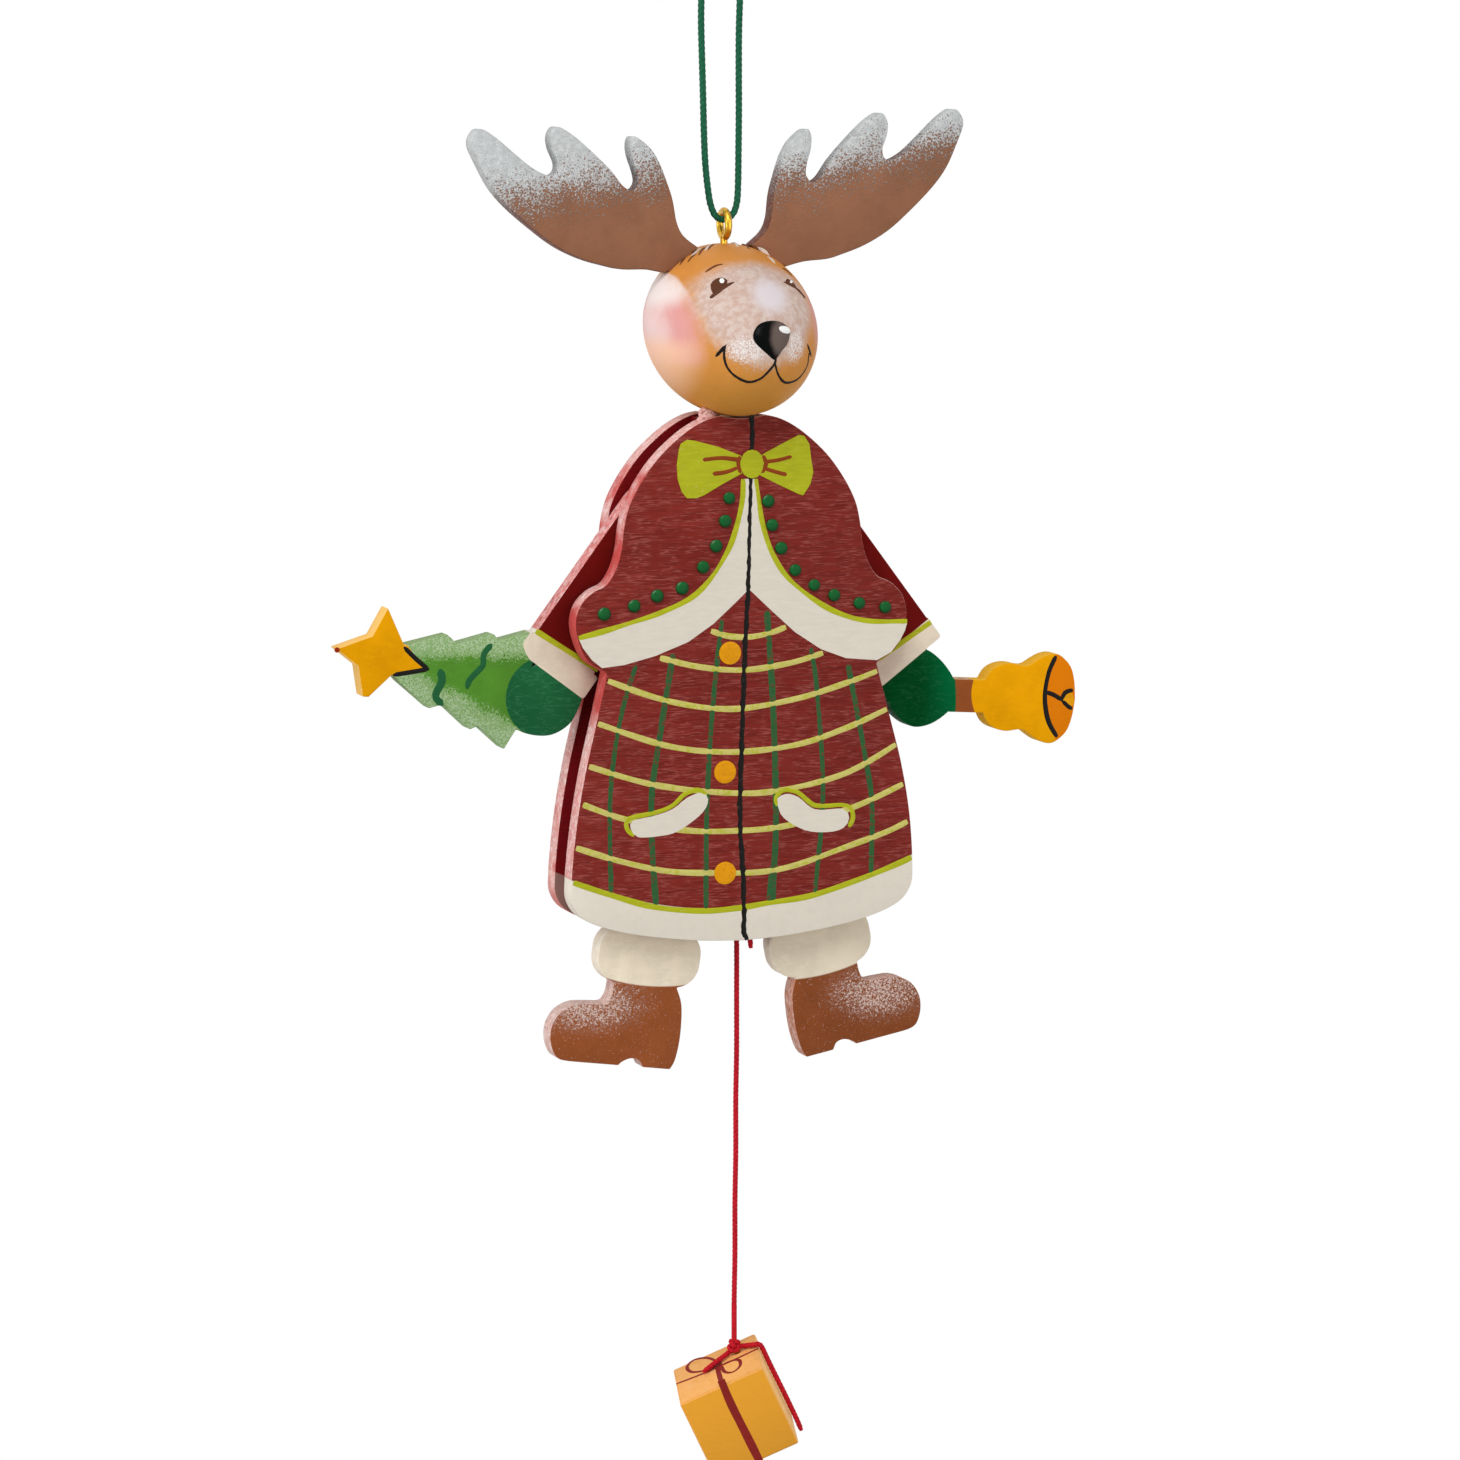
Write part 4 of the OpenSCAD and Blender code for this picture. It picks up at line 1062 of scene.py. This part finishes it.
def muzzle(f, base, frost, mottled, specks):
    """Frost on the muzzle with a painted highlight and dabs on the chin, and how much of the head it covers."""
    rise = f.z - on_head(*MUZZLE_MIDDLE).z
    upper = rise.either(0.0) * (1 / MUZZLE_RISE)
    lower = rise.both(0.0) * (1 / MUZZLE_DROP)
    apart = (f.x * (1 / MUZZLE_HALF)).squared() + upper.squared() + lower.squared() + f.step(f.y, -2.0, 2.0)
    low = f.step(f.z, -45.5, -48.5)
    cover = f.step(apart + (specks - 0.5) * (0.3 + low * 1.2) + mottled * 0.4, 1.36, 0.8)
    rime = f.glaze(MUZZLE_LOW, frost, f.noise(1.3, 5.0), 0.36, 0.66)
    rime = f.glaze(rime, MUZZLE_WHITE, specks + low * 0.14, 0.58, 0.68, 0.3 + low * 0.5)
    # A painted highlight on the frost of the muzzle.
    rime = f.glaze(rime, MUZZLE_SHINE, head_spot(f, MUZZLE_GLOW) + specks * 0.3, 1.3, 0.5)
    base = f.mix(base, rime, cover * 0.86)
    one, other = (f.step(head_spot(f, spot), 1.3, 0.4) for spot in CHIN_SPOTS)
    dabs = one.either(other)
    return f.glaze(base, CHIN_DABS, f.noise(6.4, 4.0) + dabs * 0.2, 0.66, 0.74, dabs), cover


def head_paint():
    """Tan head with frosted muzzle and blushed cheeks."""
    c = paints()
    f = Finish("head_paint")
    grain = f.noise(0.7, 4.0, (1, 0.3, 1.4), 0.5)
    mottled = f.noise(0.35, 3.0)
    specks = f.noise(5.2, 5.0)
    base = f.glaze(c.tan_low, c.tan, f.z + mottled * 3, -51.5, -44.0)
    base = f.glaze(base, shade(c.tan, 0.86), grain, 0.5, 0.75, 0.4)
    base = f.glaze(base, shade(c.tan, 1.18), mottled, 0.52, 0.7, 0.35)
    base, cover = muzzle(f, cheeks(f, base, c.blush, mottled), c.frost, mottled, specks)
    return f.done(base, 0.4 + specks * 0.2, specks * cover + grain * 0.35, 0.05)


def brass_wire():
    """Brass, a little tarnished in clouds."""
    f = Finish("brass_wire")
    wear = f.noise(2.5, 4.0)
    base = f.glaze(shade(paints().brass, 0.7), shade(paints().brass, 1.15), wear, 0.35, 0.65)
    return f.done(base, 0.22 + wear * 0.2, f.noise(6.0, 3.0), 0.02, Metallic=1.0)


def spun_cord(name, tint, fuzz):
    """Cord yarn: short slanting fibres, some darker and some paler."""
    f = Finish(name)
    fibre = f.noise(5.5, 4.0, (1.6, 1.6, 0.5), 0.6)
    base = f.glaze(shade(tint, 0.55), shade(tint, 1.0 + fuzz), fibre, 0.3, 0.7)
    base = f.glaze(base, shade(tint, 1.3), f.noise(11.0, 2.0), 0.62, 0.75, 0.4)
    return f.done(base, 0.6 + fibre * 0.25, fibre, 0.1)


def bare_wood():
    """Unpainted wood with its rings."""
    f = Finish("bare_wood")
    ring = f.noise(0.8, 4.0, (0.5, 0.5, 4.0), 0.8)
    base = f.glaze(shade(paints().wood, 0.8), shade(paints().wood, 1.12), ring, 0.35, 0.65)
    return f.done(base, 0.6 + ring * 0.2, ring, 0.05)


def gift_paint():
    """Ochre front; top and sides paler, partly a paler paint and partly painted light, brightest on the right side."""
    f = Finish("gift_paint")
    c = paints()
    turn = gift_place().to_3x3()
    grain = f.noise(1.2, 4.0, (0.8, 0.8, 2.2), 0.4)
    front = f.step(f.toward(turn @ Vector((0, -1, 0))), 0.5, 0.9)
    # Top and sides paler than the front, partly paint and partly painted light; the right side gets the most painted
    # light.
    base = f.glaze(c.gift_top, GIFT_SIDE_LIT, f.toward(turn @ Vector((1, 0, 0))), 0.5, 0.9)
    base = f.mix(base, c.gift, front)
    base = f.glaze(base, shade(c.gift, 0.86), grain, 0.5, 0.72, 0.3)
    base = f.glaze(base, pale(c.gift_top, 0.12), f.noise(0.6, 5.0), 0.56, 0.74, (1 - front) * 0.35)
    return f.done(base, 0.5 + grain * 0.2, grain, 0.03)


def gloss_black():
    """Black of the nose with a painted grey sheen on its right side."""
    f = Finish("gloss_black")
    cloud = f.noise(1.5, 3.0)
    base = f.glaze(NOSE_BLACK, NOSE_GREY, head_spot(f, NOSE_SHEEN) + cloud * 0.2, 1.2, 0.7)
    return f.done(base, 0.2 + cloud * 0.12, cloud, 0.01, **{"Specular IOR Level": 0.05})


# Operators

def white_surroundings(scene):
    """White to the camera and in reflections, dimmer as a light on the wood."""
    world = bpy.data.worlds.new("surroundings")
    scene.world = world
    world.use_nodes = True
    tree = world.node_tree
    rays = tree.nodes.new("ShaderNodeLightPath")
    seen = rays.outputs["Is Camera Ray"]
    for kind in ("Is Glossy Ray", "Is Transmission Ray"):
        either = tree.nodes.new("ShaderNodeMath")
        either.operation = "MAXIMUM"
        tree.links.new(seen, either.inputs[0])
        tree.links.new(rays.outputs[kind], either.inputs[1])
        seen = either.outputs[0]
    level = tree.nodes.new("ShaderNodeMapRange")
    level.inputs["To Min"].default_value = SKY_LIGHT
    tree.links.new(seen, level.inputs["Value"])
    sky = tree.nodes["Background"]
    sky.inputs["Color"].default_value = (1, 1, 1, 1)
    tree.links.new(level.outputs[0], sky.inputs["Strength"])


class MOOSE_OT_stage(bpy.types.Operator):
    """Camera, lights, floor and white surroundings"""
    bl_idname = "moose.stage"
    bl_label = "Stage"

    def execute(self, context):
        eye, right, up, back = view_axes()
        pick()
        bpy.ops.object.camera_add(location=eye * MM)
        camera = context.object
        camera.rotation_euler = Matrix((right, up, back)).transposed().to_euler()
        camera.data.lens = camera.data.sensor_width * VIEW_DISTANCE / VIEW_SPAN
        camera.data.clip_start = 0.01
        context.scene.camera = camera
        aim = Vector(VIEW_AIM) * MM
        for name, place, size, power in LAMPS:
            bpy.ops.object.light_add(type="AREA", location=Vector(place) + aim)
            lamp = context.object
            lamp.name = name + "_light"
            lamp.data.energy = power
            lamp.data.size = size
            lamp.rotation_euler = (-Vector(place)).to_track_quat("-Z", "Y").to_euler()
        bpy.ops.mesh.primitive_circle_add(vertices=64, radius=FLOOR_RADIUS, fill_type="NGON",
                                          location=(0, 0, FLOOR_HEIGHT))
        floor = context.object
        floor.name = "floor"
        edit_all()
        bpy.ops.mesh.extrude_region_move(TRANSFORM_OT_translate={"value": (0, 0, -FLOOR_THICKNESS)})
        bpy.ops.mesh.select_all(action="SELECT")
        bpy.ops.mesh.normals_make_consistent(inside=False)
        leave_edit()
        f = Finish("floor_paint")
        floor.data.materials.append(f.done(f.mix((0.8, 0.8, 0.8), (0.86, 0.86, 0.86), f.noise(0.05)), 0.8))
        white_surroundings(context.scene)
        context.scene.view_settings.view_transform = "Standard"
        return {"FINISHED"}


class MOOSE_OT_hanging_cord(bpy.types.Operator):
    """Green hanging loop, tied above the view"""
    bl_idname = "moose.hanging_cord"
    bl_label = "Hanging cord"

    def execute(self, context):
        yarn = spun_cord("green_yarn", paints().cord_green, 0.12)
        loop, line, run = laid_cord(LOOP_ROUTE, LOOP_D, GREEN_LAY_DEPTH)
        settle(loop, "hanging_cord", "body", yarn, ("hang_loop",))
        at = (Vector(LOOP_ROUTE[0]) + Vector(LOOP_ROUTE[-1])) / 2
        knot = tied_knot(at, spread=0.78, diameter=0.95, turn=(90, 0, 0), flat=1.5)
        settle(knot, "hanging_knot", "body", yarn, ("hang_knot",))
        return {"FINISHED"}


class MOOSE_OT_pull_cord(bpy.types.Operator):
    """Red pull string, its link cords and its knots"""
    bl_idname = "moose.pull_cord"
    bl_label = "Pull cord"

    def execute(self, context):
        yarn = spun_cord("red_yarn", paints().cord_red, 0.1)

        def red(obj, name, node):
            return settle(obj, name, "pull", yarn, (node,))

        pull, line, run = laid_cord(PULL_ROUTE, PULL_D)
        red(pull, "pull_string", "pull_cord")
        red(laid_cord(TAIL_ROUTE, PULL_D, worn=True)[0], "string_end", "cord_tail")
        for name, hole in (("arm", ARM_HOLE), ("leg", LEG_HOLE)):
            half = [(hole[0] + LINK_TURN, -LINK_SIDE, hole[1] - LINK_TURN / 2),
                    (hole[0] + LINK_D / 4, -LINK_SIDE, hole[1]), (hole[0], 0, hole[1]),
                    (hole[0] - LINK_D / 4, LINK_SIDE, hole[1]), (hole[0] / 2, LINK_SIDE, hole[1] - LINK_D / 2)]
            route = half + [(0, LINK_BACK, hole[1] - LINK_D)] + [(-p[0], p[1], p[2]) for p in reversed(half)]
            red(laid_cord(route, LINK_D)[0], name + "_link", name + "_link_cord")
            knot = tied_knot((0, LINK_BACK / 2, hole[1] - LINK_D), spread=0.72, diameter=0.62, turn=(90, 0, 30))
            red(knot, name + "_knot", name + "_link_knot")
        gift = gift_place()
        knot = tied_knot(gift @ Vector(GIFT_KNOT_AT), spread=0.62, diameter=0.6, turn=(70, 0, 20), flat=1.2)
        red(knot, "gift_tie_knot", "gift_knot")
        for name, route in (("tie_end_long", TIE_LONG), ("tie_end_short", TIE_SHORT)):
            end = laid_cord([gift @ Vector(p) for p in route], PULL_D, worn=True)[0]
            red(end, name + "_yarn", name)
        return {"FINISHED"}


class MOOSE_OT_screw_eye(bpy.types.Operator):
    """Brass screw eye in the crown of the head"""
    bl_idname = "moose.screw_eye"
    bl_label = "Screw eye"

    def execute(self, context):
        low, high = (Vector(p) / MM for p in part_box("screw_eye"))
        wire = high.x - low.x
        ring = (high.y - low.y - wire) / 2
        mid = Vector((0, (low.y + high.y) / 2, high.z - wire / 2 - ring))
        route = [Vector((0, mid.y, low.z)), Vector((0, mid.y, mid.z - ring - EYE_NECK))]
        for i in range(EYE_POINTS + 1):
            a = math.radians(EYE_START + EYE_SWEEP * i / EYE_POINTS)
            route.append(mid + Vector((0, ring * math.cos(a), ring * math.sin(a))))
        eye = curve_piece(route, wire / 2, [0.6] + [1] * (len(route) - 2) + [0.8], sides=5)
        settle(eye, "brass_eye", "body", brass_wire(), ("screw_eye",))
        return {"FINISHED"}


class MOOSE_OT_head(bpy.types.Operator):
    """Turned head with its painted face"""
    bl_idname = "moose.head"
    bl_label = "Head"

    def execute(self, context):
        c = paints()
        pick()
        bpy.ops.mesh.primitive_uv_sphere_add(segments=96, ring_count=64, radius=0.5 * MM)
        ball = context.object
        ball.scale = HEAD_SIZE
        ball.rotation_euler = (math.radians(HEAD_TILT), 0, 0)
        ball.location = Vector(HEAD_CENTRE) * MM
        settle(ball, "head_ball", "body", head_paint(), ("head",), 60)
        settle(patch_on_head(NOSE, lift=0.35), "nose", "body", gloss_black(), (), 60)

        def place(objs, name, finish):
            settle(join(objs), name, "body", finish)

        glints = [patch_on_head(NOSE_GLINT, lift=0.1, base=0.25)]
        for px, py, r in EYE_GLINTS:
            ring = [(px + r * math.cos(i * GLINT_TURN), py + r * math.sin(i * GLINT_TURN)) for i in range(8)]
            glints.append(patch_on_head(ring, lift=0.05, base=0.05))
        place(glints, "glints", thin_paint("glint_white", GLINT_WHITE, gloss=0.25))
        line = sizes().face_line / MM
        mouth = [ink_on_head(p, line * (1.05 if i < 2 else 1.3), i, 0.85 if i < 2 else 0.4)
                 for i, p in enumerate(MOUTH)]
        place(mouth, "mouth", thin_paint("mouth_ink", c.ink, gloss=0.35))
        eyes = [patch_on_head(p, lift=0.06) for p in (EYE_LEFT, EYE_RIGHT)]
        eyes += [ink_on_head(p, line * 1.8, 9 + i, 0.75) for i, p in enumerate(LIDS)]
        place(eyes, "eyes", thin_paint("eye_umber", c.umber, gloss=0.35))
        brows = [ink_on_head(p, line * 1.5, 14 + i, 0.4) for i, p in enumerate(BROWS)]
        brows += [ink_on_head(p, line * 1.25, 17 + i, 0.2) for i, p in enumerate(HAIR)]
        place(brows, "brows_and_hair", thin_paint("brow_brown", BROW_BROWN))
        frosty = [ink_on_head(p, line * 1.6, 23 + i, 0.2) for i, p in enumerate(HAIR_PALE)]
        place(frosty, "crown_hair", thin_paint("hair_frost", HAIR_FROST))
        return {"FINISHED"}


class MOOSE_OT_antlers(bpy.types.Operator):
    """Pair of flat sawn antlers with snow on their tips"""
    bl_idname = "moose.antlers"
    bl_label = "Antlers"

    def execute(self, context):
        for side, node in ((-1, "antler_left"), (1, "antler_right")):
            sanded_board(node, "body", antler_paint(side), sizes().sanding * 1.4)
        return {"FINISHED"}


class MOOSE_OT_coat_boards(bpy.types.Operator):
    """Front and back boards of the coat with the wood between them"""
    bl_idname = "moose.coat_boards"
    bl_label = "Coat boards"

    def execute(self, context):
        c = paints()
        red = coat_paint()
        for node in ("front_panel", "back_panel"):
            sanded_board(node, "body", red, sizes().sanding)
        wood = bare_wood()
        # The neck block between the boards: the same dark red, partly painted shade.
        dark = thin_paint("gap_shade_red", c.coat_gap_shade)
        blobs = []
        for i, (px, py, radius) in enumerate(NECK_GLUE):
            pick()
            bpy.ops.mesh.primitive_uv_sphere_add(segments=20, ring_count=12, radius=radius * MM,
                                                 location=on_board(px, py, COAT_FACE + 1) * MM)
            blob = context.object
            for v in blob.data.vertices:
                v.co *= 1 + 0.12 * waver(v.co.x * 2000 + v.co.z * 1400, i)
            blobs.append(blob)
        settle(join(blobs), "neck_glue", "body", thin_paint("glue_pink", GLUE_PINK, c.coat, 0.62))
        for node in ("neck_block", "neck_dowel", "arm_peg_left", "arm_peg_right", "leg_peg_left", "leg_peg_right"):
            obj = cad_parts[node]
            obj.data.materials.clear()
            obj.data.materials.append(dark if node == "neck_block" else wood)
        return {"FINISHED"}


class MOOSE_OT_coat_painting(bpy.types.Operator):
    """Bow, cape, plaid, pockets, buttons and seam of the coat"""
    bl_idname = "moose.coat_painting"
    bl_label = "Coat painting"

    def execute(self, context):
        c = paints()
        s = sizes()
        paint = s.paint / MM
        lime = thin_paint("lime_paint", c.lime, c.lime_pale, 0.68)
        thin_lime = thin_paint("thin_lime", c.lime_pale, c.lime, 0.56)
        cream = thin_paint("cream_paint", shade(c.cream, 0.93), shade(c.cream, 0.87), 0.64, 0.55, even=1.0)

        def place(objs, name, finish):
            settle(join(objs), name, "body", finish)

        greens = [brush_line(p, s.upright / MM * wide, COAT_FACE, paint * 0.5, 30 + i)
                  for i, (p, wide) in enumerate(zip(PLAID_UPRIGHTS, UPRIGHT_WIDTHS))]
        place(greens, "plaid_uprights", thin_paint("fern_paint", c.fern, c.coat, 0.6))
        arcs = [brush_line(p, s.plaid / MM, COAT_FACE, paint * 0.85, i, 0.8, "front_panel")
                for i, p in enumerate(PLAID_ARCS)]
        place(arcs, "plaid_arcs", thin_lime)
        hem = brush_line(HEM_LINE, s.plaid / MM, COAT_FACE, paint * 0.9, 8, 0.8, "front_panel")
        place([hem], "hem_line", lime)
        bands = [paint_patch(TRIM_LEFT + BAND_LEFT[::-1], COAT_FACE, paint, False),
                 paint_patch(TRIM_RIGHT + BAND_RIGHT[::-1], COAT_FACE, paint, False)]
        bands += [paint_patch(p, COAT_FACE, paint) for p in POCKETS]
        place(bands, "cape_bands", cream)
        trims = [brush_line(p, s.trim / MM, COAT_FACE, paint * 1.3, 12 + i, 0.9)
                 for i, p in enumerate((TRIM_LEFT, TRIM_RIGHT))]
        trims += [brush_line(p, s.plaid / MM * 0.8, COAT_FACE, paint * 1.3, 15 + i)
                  for i, p in enumerate(POCKET_RIMS)]
        place(trims, "cape_trim", lime)
        seam = brush_line(SEAM, s.seam / MM, COAT_FACE, paint * 1.6, 3, 0.8, sway=0.07)
        place([seam], "seam", thin_paint("seam_ink", c.ink, SEAM_RUBBED, 0.66, 0.45))
        bow = [paint_patch(p, COAT_FACE, paint * 2.0, False) for p in (BOW_LEFT, BOW_RIGHT)]
        place(bow, "bow", lime)
        place([paint_patch(BOW_KNOT, COAT_FACE, paint * 3.0)], "bow_knot", thin_paint("bow_lime", c.lime, c.lime_pale))
        creases = [brush_line(p, CREASE_WIDTH, COAT_FACE, paint * 3.1, 20 + i, 0.5) for i, p in enumerate(BOW_CREASES)]
        place(creases, "bow_creases", thin_paint("crease_brown", CREASE_BROWN))
        dots = [paint_drop(px, py, COAT_FACE, s.dot / MM * (1 + 0.06 * waver(i, 2)), paint * 12)
                for i, (px, py) in enumerate(DOTS)]
        place(dots, "cape_dots", thin_paint("emerald_paint", c.emerald, gloss=0.35, painted_dome_light=True))
        knobs = [paint_drop(px, py, COAT_FACE, s.button / MM, paint * 4) for px, py in BUTTONS]
        place(knobs, "buttons", thin_paint("amber_paint", c.amber, shade(c.amber, 0.8), 0.6, 0.4))
        return {"FINISHED"}


class MOOSE_OT_arms(bpy.types.Operator):
    """Arms with their mittens, the tree and the bell"""
    bl_idname = "moose.arms"
    bl_label = "Arms"

    def execute(self, context):
        c = paints()
        paint = sizes().paint / MM
        lime = bpy.data.materials["lime_paint"]
        ink = thin_paint("outline_ink", c.ink, gloss=0.4)
        for side, node, stripe in ((-1, "arm_left", STRIPE_LEFT), (1, "arm_right", STRIPE_RIGHT)):
            sanded_board(node, node, arm_paint(side), sizes().sanding)
            line = brush_line(stripe, STRIPE_WIDTH, LIMB_FACE, paint, 40 + side, 0.9)
            settle(line, node + "_stripe", node, lime)

        def place(objs, name, body, finish):
            settle(join(objs), name, body, finish)

        star = [brush_line(p, STAR_LINE_WIDTH, LIMB_FACE, paint, 50, 0.4) for p in STAR_LINES]
        place(star, "star_outline", "arm_left", ink)
        boughs = [brush_line(p, width, LIMB_FACE, paint, 52 + i, 0.35)
                  for i, (p, width) in enumerate(zip(TREE_LINES, BOUGH_WIDTHS))]
        place(boughs, "tree_boughs", "arm_left", thin_paint("bough_green", BOUGH_GREEN))
        bell = [brush_line(p, BELL_LINE_WIDTH, LIMB_FACE, paint, 56 + i, 0.6, "arm_right")
                for i, p in enumerate(BELL_LINES)]
        place(bell, "bell_outline", "arm_right", ink)
        clapper = paint_patch(BELL_CLAPPER, LIMB_FACE, paint * 0.6)
        place([clapper], "bell_clapper", "arm_right", thin_paint("clapper_yellow", c.star))
        tip = paint_drop(*STAR_TIP, LIMB_FACE, 0.6, paint)
        place([tip], "star_tip", "arm_left", thin_paint("tip_red", STAR_TIP_RED))
        return {"FINISHED"}


class MOOSE_OT_legs(bpy.types.Operator):
    """Legs with fur cuffs and boots"""
    bl_idname = "moose.legs"
    bl_label = "Legs"

    def execute(self, context):
        for side, node in ((-1, "leg_left"), (1, "leg_right")):
            sanded_board(node, node, leg_paint(side), sizes().sanding)
        return {"FINISHED"}


class MOOSE_OT_gift(bpy.types.Operator):
    """Gift box at the foot of the string, with painted ribbon"""
    bl_idname = "moose.gift"
    bl_label = "Gift"

    def execute(self, context):
        sanded_board("gift_box", "pull", gift_paint(), 0.1 * MM)
        place = gift_place()
        half = GIFT_W / 2
        paint = sizes().paint / MM
        ribbon = [on_gift(*q, 1, -half).xz for q in GIFT_RIBBON]
        strokes = [brush_on_face(ribbon, RIBBON_WIDTH, -half, paint, 61, 0.95)]
        on_top = [(GIFT_RUN, RIBBON_TOP_WIDTH)] + [(p, GIFT_LINE_WIDTH) for p in GIFT_LINES]
        for i, (line, width) in enumerate(on_top):
            flat = [on_gift(*q, 2, half).xy for q in line]
            stroke = brush_on_face(flat, width, -half, paint, 64 + i, 0.5)
            stroke.matrix_world = Matrix.Rotation(-math.pi / 2, 4, "X")
            strokes.append(stroke)
        lines = join(strokes)
        shift = Matrix.Translation(place.translation * MM) @ place.to_3x3().to_4x4()
        lines.matrix_world = shift @ lines.matrix_world
        settle(lines, "gift_ribbon", "pull", thin_paint("ribbon_brown", paints().ribbon))
        return {"FINISHED"}


STEPS = (
    MOOSE_OT_stage, MOOSE_OT_hanging_cord, MOOSE_OT_pull_cord, MOOSE_OT_screw_eye, MOOSE_OT_head, MOOSE_OT_antlers,
    MOOSE_OT_coat_boards, MOOSE_OT_coat_painting, MOOSE_OT_arms, MOOSE_OT_legs, MOOSE_OT_gift,
)


class MOOSE_PT_panel(bpy.types.Panel):
    """Steps and settings of the moose"""
    bl_idname = "MOOSE_PT_panel"
    bl_label = "Pull string moose"
    bl_space_type = "VIEW_3D"
    bl_region_type = "UI"
    bl_category = "Moose"

    def draw(self, context):
        for step in STEPS:
            self.layout.operator(step.bl_idname)
        for group in (context.scene.moose_sizes, context.scene.moose_colours):
            for name in group.__annotations__:
                self.layout.prop(group, name)


CLASSES = (MooseSizes, MooseColours, *STEPS, MOOSE_PT_panel)


def register():
    for cls in CLASSES:
        bpy.utils.register_class(cls)
    bpy.types.Scene.moose_sizes = PointerProperty(type=MooseSizes)
    bpy.types.Scene.moose_colours = PointerProperty(type=MooseColours)


def unregister():
    del bpy.types.Scene.moose_colours
    del bpy.types.Scene.moose_sizes
    for cls in reversed(CLASSES):
        bpy.utils.unregister_class(cls)


def main():
    register()
    for step in STEPS:
        group, name = step.bl_idname.split(".")
        getattr(getattr(bpy.ops, group), name)()


if __name__ == "__main__":
    main()
